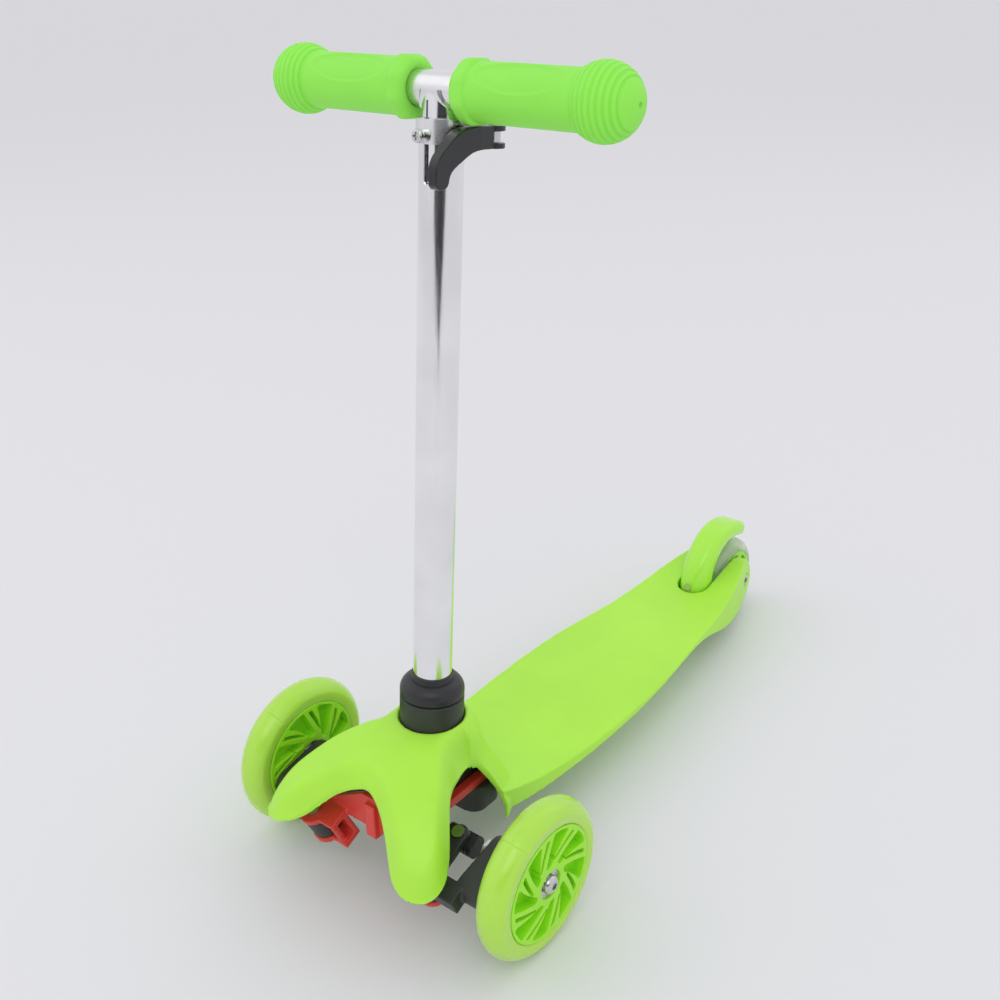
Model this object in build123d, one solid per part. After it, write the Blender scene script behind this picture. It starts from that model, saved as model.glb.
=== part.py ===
from build123d import *
import math
import os

# Layout in millimetres and degrees: the front axle is at y = 0 and z = 0 is the ground.
# The rider faces -Y, so +X is the rider's left.
wheelbase = 490.0
front_track = 238.0
leg_reach = 78.0
stem_lean = 5.0
stem_foot_y = 17.1
run_clearance = 0.05
face_gap = 0.1
free_gap = 0.4

# Front wheels
front_wheel_diameter = 120.0
front_wheel_width = 24.0
front_tyre_depth = 16.0
tongue_depth = 6.0
tongue_width = 12.0
tongue_ring = 2.0
tongue_teeth = 20
tyre_crown = 8.0
rim_wall = 2.4
core_web = 6.0
core_swirls = 8
core_swirl_share = 0.72
core_lead_share = 0.66
pocket_inner_share = 0.46
pocket_outer_share = 0.56
pocket_foot = 1.4
pocket_corner = 1.9
slit_inner_share = 0.19
slit_outer_share = 0.13
slit_foot = 5.5
slit_head = 1.6
slit_corner = 0.7
light_count = 4
light_radius = 2.0
light_length = 9.0

# Rear wheel
rear_wheel_diameter = 80.0
rear_wheel_width = 24.0
rear_tyre_depth = 12.0
rear_pockets = 5
rear_inner_share = 0.62
rear_outer_share = 0.7
rear_swirl_share = 0.14
rear_pocket_foot = 1.0
rear_pocket_corner = 1.6
rear_rim_wall = 3.5
rear_nut_size = 11.0

# Bearings, axles and hubs
bearing_diameter = 22.0
bearing_bore = 8.0
bearing_width = 7.0
bearing_inset = 1.5
race_ring = 1.9
shield_depth = 0.6
hub_wall = 3.2
spacer_radius = 6.0
axle_head_radius = 7.0
axle_head_height = 4.0
hex_socket = 5.0
socket_depth = 2.6
axle_nut_size = 13.0
axle_nut_height = 6.5
washer_thickness = 0.6

# Stem tube, inner tube and crossbar; heights run along the leaning stem from the ground
stem_tube_diameter = 28.6
stem_tube_wall = 1.5
stem_bottom = 72.0
slit_width = 4.0
slit_length = 37.2
inner_tube_diameter = 25.0
inner_tube_wall = 1.6
inner_tube_bottom = 250.0
keyway_depth = 0.9
keyway_top_drop = 6.0
bush_length = 30.0
bush_rim = 3.0
crossbar_height = 570.8
crossbar_diameter = 22.0
crossbar_wall = 1.6
handlebar_width = 281.6
weld_size = 1.6

# Grips
grip_inner_end = 18.5
grip_flange_radius = 19.0
grip_flange_sides = 8
grip_flange_length = 11.0
grip_flange_chamfer = 2.0
grip_barrel_radius = 17.6
grip_bulb_radius = 22.4
grip_end_wall = 5.0
grip_cap_hole = 1.6
grip_cap_depth = 2.0
grip_cap_angle = 36.0
grip_groove_count = 9
grip_groove_share = 0.3
grip_groove_depth = 1.0
palm_length = 66.0
palm_height = 27.0
palm_depth = 1.4

# Height clamp
clamp_length = 14.6
clamp_rise = 2.4
clamp_radius = 16.2
clamp_ear_length = 9.8
clamp_ear_reach = 26.5
clamp_ear_outer = 12.0
clamp_gap = 3.0
clamp_bolt_radius = 2.5
clamp_bolt_y = 19.5
clamp_nut_size = 8.0
clamp_nut_height = 4.0
cam_radius = 8.0
cam_seat = 3.8
lever_pin_radius = 2.5
lever_thickness = 11.0
lever_height = 13.6
lever_slot = 7.0
lever_bend_y = 2.0
lever_reach = 36.9
lever_drop = 35.2
lever_tip_width = 11.5
lever_tip_inside = 3.0
lever_tip_outside = 1.5
lever_web_end = 8.0
guide_screw_radius = 1.8
guide_boss_radius = 4.6
guide_boss_reach = 21.0
guide_head_radius = 4.2
guide_head_height = 2.8

# Deck moulding
deck_front_y = 47.5
deck_front_half = 51.5
deck_front_top = 69.5
deck_front_bottom = 50.0
deck_half_width = 63.0
deck_widest_y = 200.0
deck_top = 53.0
deck_rim = 7.0
deck_wall = 4.0
deck_skin = 4.5
rib_thickness = 3.0
rib_bottom = 38.0
rib_spread = 36.0
rib_pitch = 45.0
rib_start = 135.0
rib_rise = 1.5
fork_half_width = 25.0
fork_top = 69.0
fork_bottom = 18.0
slot_half_width = 16.0
slot_front = -82.0

# Front cover: hump round the stem and the two legs
hump_height = 130.6
hump_hole_radius = 24.9
hump_crown = 3.0
cover_wall = 3.0
cover_lip = 6.0
lip_height = 98.7
arch_half_width = 37.0
arch_rear_y = 30.0
arch_overlap = 3.0
arch_corner_inset = 1.5
crotch_half = 2.0
crotch_y = -43.0

# Stem socket and cap
socket_radius = 21.5
collar_radius = 24.0
collar_bottom = 127.0
collar_top = 148.6
collar_groove = 1.6
cap_spigot = 2.0
cap_shoulder = 2.5
cap_dome_height = 9.9
cap_dome_swell = 2.3
cap_neck_height = 4.6
cap_neck_radius = 16.0
cap_neck_taper = 0.8
socket_half_width = 34.0
socket_front = 36.0
socket_rear = 70.0
socket_bottom = 44.0
socket_ledge = 66.0
socket_floor = 4.0
socket_corner = 12.0
tongue_half = 24.0
tongue_end = 122.0
tongue_top = 46.0
tongue_thickness = 5.5
boss_radius = 5.0
boss_spread = 16.0
boss_rows = (96.0, 113.0)
screw_radius = 1.75
screw_head_radius = 3.6
screw_head_height = 2.4
stem_bolt_radius = 3.0
stem_bolt_height = 100.0
stem_bolt_head = 3.0

# Steering: kingpins lean forward at the top, and the tie rod runs behind them
kingpin_x = 54.0
kingpin_y = -42.0
kingpin_z = 50.0
kingpin_tilt = 25.0
kingpin_radius = 4.0
kingpin_head = 3.6
kingpin_nut_size = 12.0
barrel_radius = 11.0
barrel_length = 22.0
bush_radius = 7.0
lug_radius = 12.0
lug_thickness = 5.0
lug_gap = 0.2
steering_arm = 40.0
steering_arm_width = 13.0
steering_arm_thickness = 6.0
eye_radius = 7.0
pivot_radius = 3.0
tie_rod_radius = 6.0
tie_end_radius = 8.5
tie_end_reach = 12.0
tie_end_length = 26.0
tie_groove_count = 3
tie_groove_depth = 0.9
upright_outer = 103.0
upright_inner = 80.0
upright_boss = 13.5
upright_foot = 10.5
knuckle_arm_half = 8.0
outrigger_bottom = -4.0
upright_foot_back = 9.0
upright_foot_rise = 6.0
bridge_web_half = 39.0
bridge_opening_half = 29.0
bridge_wing = 9.0
bridge_front = -38.0
bridge_wall = 4.0
bridge_top = 93.0
bridge_arm_inner = 22.5
bridge_arm_outer = 30.0
bridge_arm_height = 7.0
bridge_arm_end = 62.0
bridge_screw_y = 54.0

# Brake, measured back from the rear axle
brake_pin_y = -66.0
brake_pin_z = 46.0
brake_pin_radius = 3.0
fender_half_width = 14.5
fender_skin = 3.0
fender_flange = 2.1
fender_front = -79.0
brake_plate_thickness = 2.0
brake_plate_half = 9.5
spring_radius = 5.0
spring_half_length = 5.0
spring_wire = 0.9

# Worked out from the sizes above
front_radius = front_wheel_diameter / 2
rear_radius = rear_wheel_diameter / 2
axle_radius = bearing_bore / 2 - run_clearance
bearing_face = front_wheel_width / 2 - bearing_inset
hub_radius = bearing_diameter / 2 + hub_wall
lean = math.radians(stem_lean)
tilt = math.radians(kingpin_tilt)
stem_direction = (0, math.sin(lean), math.cos(lean))
kingpin_direction = (0, -math.sin(tilt), math.cos(tilt))
stem_frame = Plane(origin=(0, stem_foot_y, 0), x_dir=(1, 0, 0), z_dir=stem_direction)
bridge_frame = Plane(origin=(0, kingpin_y, kingpin_z), x_dir=(1, 0, 0), z_dir=kingpin_direction)
stem_radius = stem_tube_diameter / 2
inner_radius = inner_tube_diameter / 2
crossbar_radius = crossbar_diameter / 2
lever_pin_x = clamp_ear_outer + cam_seat + cam_radius + free_gap
clamp_height = crossbar_height - grip_flange_radius - free_gap - lever_height / 2
stem_top = clamp_height + clamp_rise + clamp_length / 2 + free_gap
slit_bottom = stem_top - slit_length
cap_rise = collar_top + collar_groove
cap_top = cap_rise + cap_shoulder + cap_dome_height
cap_neck_top = cap_top + cap_neck_height
lug_inside = barrel_length / 2 + lug_gap
lug_outside = lug_inside + lug_thickness
overall_length = leg_reach + wheelbase + rear_radius
to_part_frame = Pos(0, leg_reach - overall_length / 2, 0)
cover_centre_y = stem_foot_y + hump_height * math.tan(lean)
cover_centre = Pos(0, cover_centre_y, 0)
low_align = (Align.CENTER, Align.CENTER, Align.MIN)
sides = {"left": 1, "right": -1}


def rod(start, end, radius):
    """Round bar from one point to another."""
    run = Vector(*end) - Vector(*start)
    foot = Plane(origin=start, z_dir=run)
    return foot * Cylinder(radius, run.length, align=low_align)


def sleeve(start, end, outer, inner):
    """Round tube from one point to another."""
    return rod(start, end, outer) - rod(start, end, inner)


def block(low, high):
    """Box between two opposite corners."""
    size = [b - a for a, b in zip(low, high)]
    middle = [(a + b) / 2 for a, b in zip(low, high)]
    return Pos(*middle) * Box(*size)


def turned(frame, edges):
    """Solid of revolution about the frame's Z axis, from edges drawn as (radius, height)."""
    face = make_face(Plane.XZ * edges)
    return frame * revolve(face, Axis.Z)


def turned_polygon(frame, points):
    """Solid of revolution about the frame's Z axis, from a closed polygon of (radius, height)."""
    return turned(frame, Polyline(*points, close=True))


def side_prism(edges, half_width):
    """Slab across the scooter, from closed edges drawn as (y, z)."""
    face = make_face(Plane.YZ * edges)
    return extrude(face, amount=half_width, both=True)


def hexagon_bar(frame, across_flats, height):
    """Hexagonal bar standing on the frame."""
    return frame * extrude(RegularPolygon(across_flats / 2, 6, major_radius=False), amount=height)


def joined(pieces):
    """One shape that holds several separate solids."""
    return Compound(children=[solid for piece in pieces for solid in piece.solids()])


def save(name, shape):
    """Write one node in the part's frame."""
    export_step(to_part_frame * shape, f"parts/{name}.step")


def wheel_frame(side, x, y, z):
    """Frame on a wheel axis whose Z axis points outwards."""
    return Plane(origin=(side * x, y, z), x_dir=(0, side, 0), z_dir=(side, 0, 0))


def polar(radius, angle):
    """Point in a plane at a radius and an angle in degrees."""
    return (radius * math.cos(math.radians(angle)), radius * math.sin(math.radians(angle)))


def tyre_section(radius, width, depth):
    """Edges of a tyre section with a round tread."""
    inner = radius - depth
    shoulder = radius - tyre_crown
    half = width / 2
    tread = ThreePointArc((shoulder, -half), (radius, 0), (shoulder, half))
    walls = Polyline((shoulder, half), (inner, half), (inner, -half), (shoulder, -half))
    return tread + walls


def swirl_pocket(inner, outer, start, inner_span, outer_span, swirl, corner):
    """Pocket between two curved spokes, as a face with rounded corners."""
    middle = (inner + outer) / 2
    lead = swirl * core_lead_share
    end = start + swirl
    foot = start + inner_span
    edges = ThreePointArc(polar(inner, start), polar(inner, start + inner_span / 2), polar(inner, foot))
    edges += ThreePointArc(
        polar(inner, foot),
        polar(middle, start + lead + (inner_span + outer_span) / 2),
        polar(outer, end + outer_span),
    )
    head = end + outer_span
    edges += ThreePointArc(polar(outer, head), polar(outer, end + outer_span / 2), polar(outer, end))
    edges += ThreePointArc(polar(outer, end), polar(middle, start + lead), polar(inner, start))
    face = make_face(edges)
    return fillet(face.vertices(), corner)


def hub_profile(rim_radius, width):
    """Blank of a wheel core with seats for two bearings."""
    half = width / 2
    seat = bearing_diameter / 2
    seat_floor = half - bearing_inset - bearing_width
    shoulder = seat - race_ring
    return [
        (seat, half),
        (rim_radius, half),
        (rim_radius, -half),
        (seat, -half),
        (seat, -seat_floor),
        (shoulder, -seat_floor),
        (shoulder, seat_floor),
        (seat, seat_floor),
    ]


def front_core(frame):
    """Front wheel core: hub, swirling spokes, rim and a toothed tongue under the tyre."""
    rim = front_radius - front_tyre_depth
    half = front_wheel_width / 2
    core = turned_polygon(Plane.XY, hub_profile(rim, front_wheel_width))
    depth = half - core_web / 2
    outer = rim - rim_wall
    pitch = 360.0 / core_swirls
    swirl = -pitch * core_swirl_share
    inner_span = pitch * pocket_inner_share
    outer_span = pitch * pocket_outer_share
    wide = swirl_pocket(hub_radius + pocket_foot, outer, 0, inner_span, outer_span, swirl, pocket_corner)
    slit_inner = pitch * slit_inner_share
    slit_outer = pitch * slit_outer_share
    slit_start = (inner_span + pitch - slit_inner) / 2
    slit_end = (outer_span + pitch - slit_outer) / 2
    slit_swirl = swirl + slit_end - slit_start
    narrow = swirl_pocket(hub_radius + slit_foot, outer - slit_head, slit_start, slit_inner, slit_outer,
                          slit_swirl, slit_corner)
    pockets = []
    for count in range(core_swirls):
        for face in (wide, narrow):
            pocket = Rot(0, 0, count * pitch) * extrude(face, amount=depth)
            pockets += [Pos(0, 0, core_web / 2) * pocket, Pos(0, 0, -half) * pocket]
    core -= pockets
    ring = Cylinder(rim + tongue_ring, tongue_width) - Cylinder(rim, tongue_width)
    tooth_pitch = 360.0 / tongue_teeth
    tooth_width = math.pi * (rim + tongue_depth) / tongue_teeth
    teeth = []
    for count in range(tongue_teeth):
        tooth = block((rim + tongue_ring / 2, -tooth_width / 2, -tongue_width / 2),
                      (rim + tongue_depth, tooth_width / 2, tongue_width / 2))
        teeth.append(Rot(0, 0, count * tooth_pitch) * tooth)
    core += ring
    core += [tooth & Cylinder(rim + tongue_depth, tongue_width) for tooth in teeth]
    seats = [light_seat(count, free_gap / 4) for count in range(light_count)]
    core -= seats
    return frame * core


def light_seat(count, margin):
    """Round light unit set in the tongue, or its seat with a margin."""
    radius = front_radius - front_tyre_depth + tongue_depth / 2
    tooth_pitch = 360.0 / tongue_teeth
    x, y = polar(radius, (count * tongue_teeth / light_count + 0.5) * tooth_pitch)
    half = light_length / 2 + margin
    return rod((x, y, -half), (x, y, half), light_radius + margin)


def front_tyre(frame):
    """Front tyre moulded round the core's tongue."""
    tyre = turned(Plane.XY, tyre_section(front_radius, front_wheel_width, front_tyre_depth))
    tongue = Cylinder(front_radius - front_tyre_depth + tongue_depth, tongue_width)
    return frame * (tyre - tongue)


def bearing(frame, height):
    """Ball bearing whose shields sit below its rings, centred at a height on the axis."""
    outer = bearing_diameter / 2
    bore = bearing_bore / 2
    half = bearing_width / 2
    shield = half - shield_depth
    upper = [(bore, half), (bore + race_ring, half), (bore + race_ring, shield),
             (outer - race_ring, shield), (outer - race_ring, half), (outer, half)]
    lower = [(radius, -z) for radius, z in reversed(upper)]
    return turned_polygon(frame * Pos(0, 0, height), upper + lower)


def bearing_pair(frame, width):
    """Two bearings in a hub of the given width."""
    height = width / 2 - bearing_inset - bearing_width / 2
    return joined([bearing(frame, height), bearing(frame, -height)])


def hub_spacer(frame, width):
    """Sleeve that keeps the two inner rings apart."""
    half = width / 2 - bearing_inset - bearing_width
    tube = Cylinder(spacer_radius, 2 * half) - Cylinder(bearing_bore / 2 + run_clearance, 2 * half)
    return frame * tube


def axle_bolt(frame, head_face, tip):
    """Button-head bolt with a hexagon socket, its head facing outwards."""
    head_top = head_face + axle_head_height
    crown = axle_head_radius * 0.45
    swell = (axle_head_radius * 0.82, head_face + axle_head_height * 0.72)
    dome = ThreePointArc((axle_head_radius, head_face), swell, (crown, head_top))
    outline = dome + Polyline((crown, head_top), (0, head_top), (0, tip), (axle_radius, tip),
                              (axle_radius, head_face), (axle_head_radius, head_face))
    bolt = turned(Plane.XY, outline)
    bolt -= hexagon_bar(Plane.XY.offset(head_top - socket_depth), hex_socket, socket_depth)
    return frame * bolt


def axle_nut(frame, foot, height, size):
    """Hexagon nut that stands inwards from the given height."""
    nut = hexagon_bar(Plane.XY.offset(foot - height), size, height)
    return frame * (nut - rod((0, 0, foot - height), (0, 0, foot), axle_radius))


def front_axle_spacers(frame):
    """Washer under the bolt head and sleeve between the wheel and the knuckle."""
    inner_face = upright_outer - front_track / 2
    bore = bearing_bore / 2 - run_clearance
    outer_foot = bearing_face + face_gap
    washer = sleeve((0, 0, outer_foot), (0, 0, outer_foot + washer_thickness), spacer_radius, bore)
    stand_off = sleeve((0, 0, inner_face), (0, 0, -bearing_face - face_gap), spacer_radius, bore)
    return frame * joined([washer, stand_off])


def front_wheels():
    """Both front wheels and what holds them on their knuckles."""
    for name, side in sides.items():
        frame = wheel_frame(side, front_track / 2, 0, front_radius)
        save(f"front_tyre_{name}", front_tyre(frame))
        save(f"front_core_{name}", front_core(frame))
        save(f"front_bearings_{name}", bearing_pair(frame, front_wheel_width))
        save(f"front_hub_spacer_{name}", hub_spacer(frame, front_wheel_width))
        lights = [frame * light_seat(count, 0) for count in range(light_count)]
        save(f"wheel_lights_{name}", joined(lights))
        head_face = bearing_face + face_gap + washer_thickness
        nut_foot = upright_inner - front_track / 2
        save(f"axle_bolt_{name}", axle_bolt(frame, head_face, nut_foot - axle_nut_height))
        save(f"axle_nut_{name}", axle_nut(frame, nut_foot, axle_nut_height, axle_nut_size))
        save(f"axle_spacers_{name}", front_axle_spacers(frame))


def rear_core(frame):
    """Rear wheel core with plain pockets in both faces."""
    rim = rear_radius - rear_tyre_depth
    half = rear_wheel_width / 2
    core = turned_polygon(Plane.XY, hub_profile(rim, rear_wheel_width))
    depth = half - core_web / 2
    pitch = 360.0 / rear_pockets
    face = swirl_pocket(hub_radius + rear_pocket_foot, rim - rear_rim_wall, 0, pitch * rear_inner_share,
                        pitch * rear_outer_share, pitch * rear_swirl_share, rear_pocket_corner)
    pockets = []
    for count in range(rear_pockets):
        pocket = Rot(0, 0, count * pitch) * extrude(face, amount=depth)
        pockets += [Pos(0, 0, core_web / 2) * pocket, Pos(0, 0, -half) * pocket]
    core -= pockets
    ring = Cylinder(rim + tongue_ring, tongue_width) - Cylinder(rim, tongue_width)
    return frame * (core + ring)


def rear_wheel():
    """Rear wheel, its axle, and the spacers that centre it in the fork."""
    frame = wheel_frame(1, 0, wheelbase, rear_radius)
    tyre = turned(Plane.XY, tyre_section(rear_radius, rear_wheel_width, rear_tyre_depth))
    tyre -= Cylinder(rear_radius - rear_tyre_depth + tongue_ring, tongue_width)
    save("rear_tyre", frame * tyre)
    save("rear_core", rear_core(frame))
    save("rear_bearings", bearing_pair(frame, rear_wheel_width))
    save("rear_hub_spacer", hub_spacer(frame, rear_wheel_width))
    seat = fork_half_width - axle_head_height - face_gap
    save("rear_axle", axle_bolt(frame, seat, -seat - axle_head_height))
    save("rear_axle_nut", axle_nut(frame, -seat, axle_head_height, rear_nut_size))
    near = rear_wheel_width / 2 - bearing_inset + face_gap
    bore = bearing_bore / 2 - run_clearance
    spacers = []
    for side in (1, -1):
        spacers.append(sleeve((0, 0, side * near), (0, 0, side * slot_half_width), spacer_radius, bore))
    save("rear_spacers", frame * joined(spacers))


def deck_plan(inset):
    """Closed outline of the deck seen from above, drawn in by an inset."""
    half_widths = [
        (deck_front_y + inset, deck_front_half),
        (deck_front_y + 50.0, deck_front_half + 5.3),
        (deck_widest_y, deck_half_width),
        (wheelbase - 205.0, deck_half_width - 3.2),
        (wheelbase - 150.0, deck_half_width - 10.4),
        (wheelbase - 70.0, fork_half_width + 18.5),
        (wheelbase - 28.0, fork_half_width + 8.5),
        (wheelbase, fork_half_width),
        (wheelbase + 16.0 - inset, fork_half_width - 3.0),
    ]
    left = [(half - inset, y) for y, half in half_widths]
    right = [(-x, y) for x, y in reversed(left)]
    outline = Spline(*left) + Line(left[-1], right[0]) + Spline(*right) + Line(right[-1], left[0])
    return make_face(outline)


def deck_top_line():
    """Points (y, z) along the top of the deck from its front edge to the crown of the fork."""
    return [
        (deck_front_y, deck_front_top),
        (deck_front_y + 25.0, deck_top + 9.0),
        (deck_front_y + 50.0, deck_top + 4.5),
        (deck_front_y + 90.0, deck_top + 1.0),
        (deck_widest_y, deck_top),
        (wheelbase - 160.0, deck_top - 0.2),
        (wheelbase - 110.0, deck_top + 0.7),
        (wheelbase - 70.0, deck_top + 5.5),
        (wheelbase - 35.0, fork_top - 3.0),
        (wheelbase - 18.0, fork_top),
    ]


def deck_side():
    """Closed side view of the deck: top, round fork end and lower rim."""
    top = deck_top_line()
    tail = [
        top[-1],
        (wheelbase - 3.0, fork_top - 2.5),
        (wheelbase + 9.0, fork_top - 13.0),
        (wheelbase + 15.0, rear_radius + 2.0),
        (wheelbase + 13.0, rear_radius - 12.0),
        (wheelbase + 3.0, fork_bottom + 1.0),
    ]
    rim = deck_top - deck_rim
    under = [
        tail[-1],
        (wheelbase - 32.0, fork_bottom + 2.0),
        (wheelbase - 60.0, fork_bottom + 7.0),
        (wheelbase - 90.0, fork_bottom + 14.0),
        (wheelbase - 120.0, rim - 4.0),
        (wheelbase - 142.0, rim),
        (deck_widest_y, rim),
        (deck_front_y + 60.0, rim - 1.5),
        (deck_front_y + 25.0, rim),
        (deck_front_y, deck_front_bottom),
    ]
    front = Line(under[-1], top[0])
    return Spline(*top) + Spline(*tail) + Spline(*under) + front


def slot_plan(margin):
    """Outline of the rear wheel slot, round at its front end."""
    half = slot_half_width + margin
    centre = wheelbase + slot_front + slot_half_width
    rear = centre + rear_wheel_diameter + rear_radius
    return Pos(0, centre) * Circle(half) + Pos(0, (centre + rear) / 2) * Rectangle(2 * half, rear - centre)


def deck_height(y):
    """Height of the deck's top at a place along it."""
    line = deck_top_line()
    for (y_low, z_low), (y_high, z_high) in zip(line, line[1:]):
        if y <= y_high:
            return z_low + (z_high - z_low) * (y - y_low) / (y_high - y_low)
    return line[-1][1]


def cover_plan(inset):
    """Outline of the hump's front and the two legs, drawn in by an inset."""
    tip = leg_reach
    left = [
        (crotch_half, crotch_y),
        (13.0, crotch_y - 4.2),
        (40.0, crotch_y - 22.8),
        (55.0, 1.8 - tip),
        (67.0, -tip),
        (78.0, 5.0 - tip),
        (82.0, 15.0 - tip),
        (77.5, 32.0 - tip),
        (61.8, -25.0),
        (44.5, 1.2),
        (38.2, 16.2),
        (arch_half_width, arch_rear_y),
    ]
    if inset:
        drawn_in = inward(left, -inset)
        left = [(crotch_half, crotch_y + inset), *drawn_in[1:-1], (arch_half_width - inset, arch_rear_y)]
    right = [(-x, y) for x, y in reversed(left)]
    outline = Spline(*left) + Line(left[-1], right[0]) + Spline(*right) + Line(right[-1], left[0])
    return make_face(outline)


def cover_front(inset, drop):
    """Front of the cover under its sloping roof, or the room inside it with the wall taken off."""
    far = 2 * leg_reach
    top = hump_height - drop
    falls = [(126.0, 54.6), (118.0, 45.6), (105.0, 33.1), (90.0, 22.1), (74.0, 13.1), (50.0, 4.6)]
    eave = top - 87.0
    crown = (hump_hole_radius + hump_crown, top)
    roof_line = [(far, eave), *((radius, top - fall) for radius, fall in falls), crown]
    roof = Spline(*roof_line) + Line(crown, (0, top))
    if inset:
        edges = roof + Polyline((0, top), (0, 0), (far, 0), (far, eave))
    else:
        lip = [(44.0, lip_height), (58.0, lip_height + 4.3), (71.0, lip_height + 6.0),
               (84.0, lip_height - 3.2), (104.0, lip_height - 21.7), (118.0, lip_height - 29.2),
               (far, eave - cover_lip)]
        edges = roof + Polyline((0, top), (0, lip_height), lip[0])
        edges += Spline(*lip) + Line(lip[-1], (far, eave))
    body = cover_centre * revolve(make_face(Plane.YZ * edges), Axis.Z)
    return body & extrude(cover_plan(inset), amount=2 * hump_height)


def cover_rear(inset, drop, floor):
    """Rear of the hump, flaring out to the deck, or the room inside it with the wall taken off."""
    foot = deck_front_y + 40.0 - cover_centre_y
    flank = [
        (hump_hole_radius + 2.0, hump_height),
        (32.0, hump_height - 6.6),
        (40.0, 97.0),
        (47.0, 82.5),
        (53.5, deck_front_top + 0.5),
        (foot, deck_front_top - 11.5),
    ]
    flank = [(radius - inset, z - drop) for radius, z in flank]
    outer = flank[-1][0]
    edges = Spline(*flank) + Polyline(flank[-1], (outer, floor), (0, floor), (0, flank[0][1]), flank[0])
    return cover_centre * revolve(make_face(Plane.YZ * edges), Axis.Z)


def arch_plan():
    """Area behind the side arches, where the hump's rear stands on the deck."""
    wide = 2 * deck_half_width
    start = (arch_half_width, arch_rear_y - arch_overlap)
    corner = (deck_front_half - arch_corner_inset, deck_front_y)
    bulge = (start[0] + 0.4 * (corner[0] - start[0]), start[1] + 0.72 * (corner[1] - start[1]))
    rear = wheelbase / 2
    outline = Polyline(corner, (wide, deck_front_y), (wide, rear), (-wide, rear), (-wide, deck_front_y),
                       (-corner[0], corner[1]))
    outline += ThreePointArc((-corner[0], corner[1]), (-bulge[0], bulge[1]), (-start[0], start[1]))
    outline += Line((-start[0], start[1]), start)
    outline += ThreePointArc(start, bulge, corner)
    return make_face(outline)


def deck():
    """Deck moulding: ribbed platform, rear fork, and the hollow cover with its legs."""
    tall = 4 * fork_top
    body = extrude(deck_plan(0), amount=tall) & side_prism(deck_side(), deck_half_width + deck_wall)
    top = [(y, z - deck_skin) for y, z in deck_top_line()]
    hollow_end = wheelbase - 30.0
    inside_line = [point for point in top if point[0] < hollow_end]
    inside_line[0] = (deck_front_y - deck_wall, inside_line[0][1])
    last = (hollow_end, inside_line[-1][1])
    inside = Spline(*inside_line) + Polyline(inside_line[-1], last, (hollow_end, -tall),
                                             (inside_line[0][0], -tall), inside_line[0])
    hollow = extrude(deck_plan(deck_wall), amount=tall) & side_prism(inside, deck_half_width)
    hollow -= extrude(slot_plan(deck_wall), amount=tall)
    body -= hollow
    rib_end = wheelbase + slot_front - deck_wall
    rib_top = deck_top - rib_rise
    ribs = []
    for x in (-rib_spread, -rib_spread / 3, rib_spread / 3, rib_spread):
        half = rib_thickness / 2
        ribs.append(block((x - half, rib_start, rib_bottom), (x + half, rib_end, rib_top)))
    for count in range(int((rib_end - rib_start) / rib_pitch) + 1):
        y = rib_start + count * rib_pitch
        ribs.append(block((-rib_spread, y, rib_bottom), (rib_spread, y + rib_thickness, rib_top)))
    body += ribs
    bosses = []
    for x, y in boss_places():
        boss_top = deck_height(y) - deck_skin / 2
        bosses.append(rod((x, y, tongue_top), (x, y, boss_top), boss_radius))
    body += bosses
    pilot = screw_radius + run_clearance
    body -= [rod((x, y, tongue_top), (x, y, tongue_top + 6.0), pilot) for x, y in boss_places()]
    body -= extrude(slot_plan(0), amount=tall)
    floor = deck_top - deck_rim
    body += cover_front(0, 0)
    body += cover_rear(0, 0, floor) & extrude(arch_plan(), amount=tall)
    body -= cover_front(cover_wall, cover_wall)
    body -= cover_rear(cover_wall, cover_wall, 0)
    hole = Pos(0, 0, hump_height / 2) * Cylinder(hump_hole_radius, hump_height, align=low_align)
    body -= stem_frame * hole
    axle = (0, wheelbase, rear_radius)
    body -= rod((-deck_half_width, *axle[1:]), (deck_half_width, *axle[1:]), axle_radius)
    seat = fork_half_width - axle_head_height - face_gap
    for side in (1, -1):
        outside = (side * deck_half_width, *axle[1:])
        body -= rod((side * seat, *axle[1:]), outside, axle_head_radius + free_gap)
    pin = (wheelbase + brake_pin_y, brake_pin_z)
    pin_reach = slot_half_width + deck_wall
    body -= rod((-pin_reach, *pin), (pin_reach, *pin), brake_pin_radius)
    return body


def boss_places():
    """Places of the deck bosses that the socket's tongue is screwed to."""
    return [(side * boss_spread, y) for side in (1, -1) for y in boss_rows]


def stem_socket():
    """Black socket: barrel on the stem axis, foot block behind it, and a tongue under the deck."""
    collar = Pos(0, 0, collar_bottom) * Cylinder(collar_radius, collar_top - collar_bottom, align=low_align)
    shaft = stem_frame * rod((0, 0, stem_bottom - socket_floor), (0, 0, collar_top), socket_radius)
    foot = block((-socket_half_width, socket_front, socket_bottom),
                 (socket_half_width, socket_rear, socket_ledge))
    foot = fillet(foot.edges().filter_by(Axis.Z), socket_corner)
    riser = block((-socket_radius, socket_front - 6.0, socket_ledge - 6.0),
                  (socket_radius, socket_rear - 8.0, socket_ledge + 14.0))
    tongue = block((-tongue_half, socket_rear - 8.0, tongue_top - tongue_thickness),
                   (tongue_half, tongue_end, tongue_top))
    socket = shaft + stem_frame * collar + foot + riser + tongue
    bore = Pos(0, 0, stem_bottom) * Cylinder(stem_radius, collar_top, align=low_align)
    socket -= stem_frame * bore
    for x, y in boss_places():
        socket -= rod((x, y, tongue_top - tongue_thickness), (x, y, tongue_top), screw_radius + run_clearance)
    bolt_at = stem_frame * Pos(0, 0, stem_bolt_height)
    socket -= bolt_at * Rot(0, 90, 0) * Cylinder(stem_bolt_radius, 3 * socket_radius)
    for side in (1, -1):
        x = side * (bridge_arm_inner + bridge_arm_outer) / 2
        pilot = screw_radius + run_clearance
        socket -= rod((x, bridge_screw_y, socket_ledge - 12.0), (x, bridge_screw_y, socket_ledge), pilot)
    return socket


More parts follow.
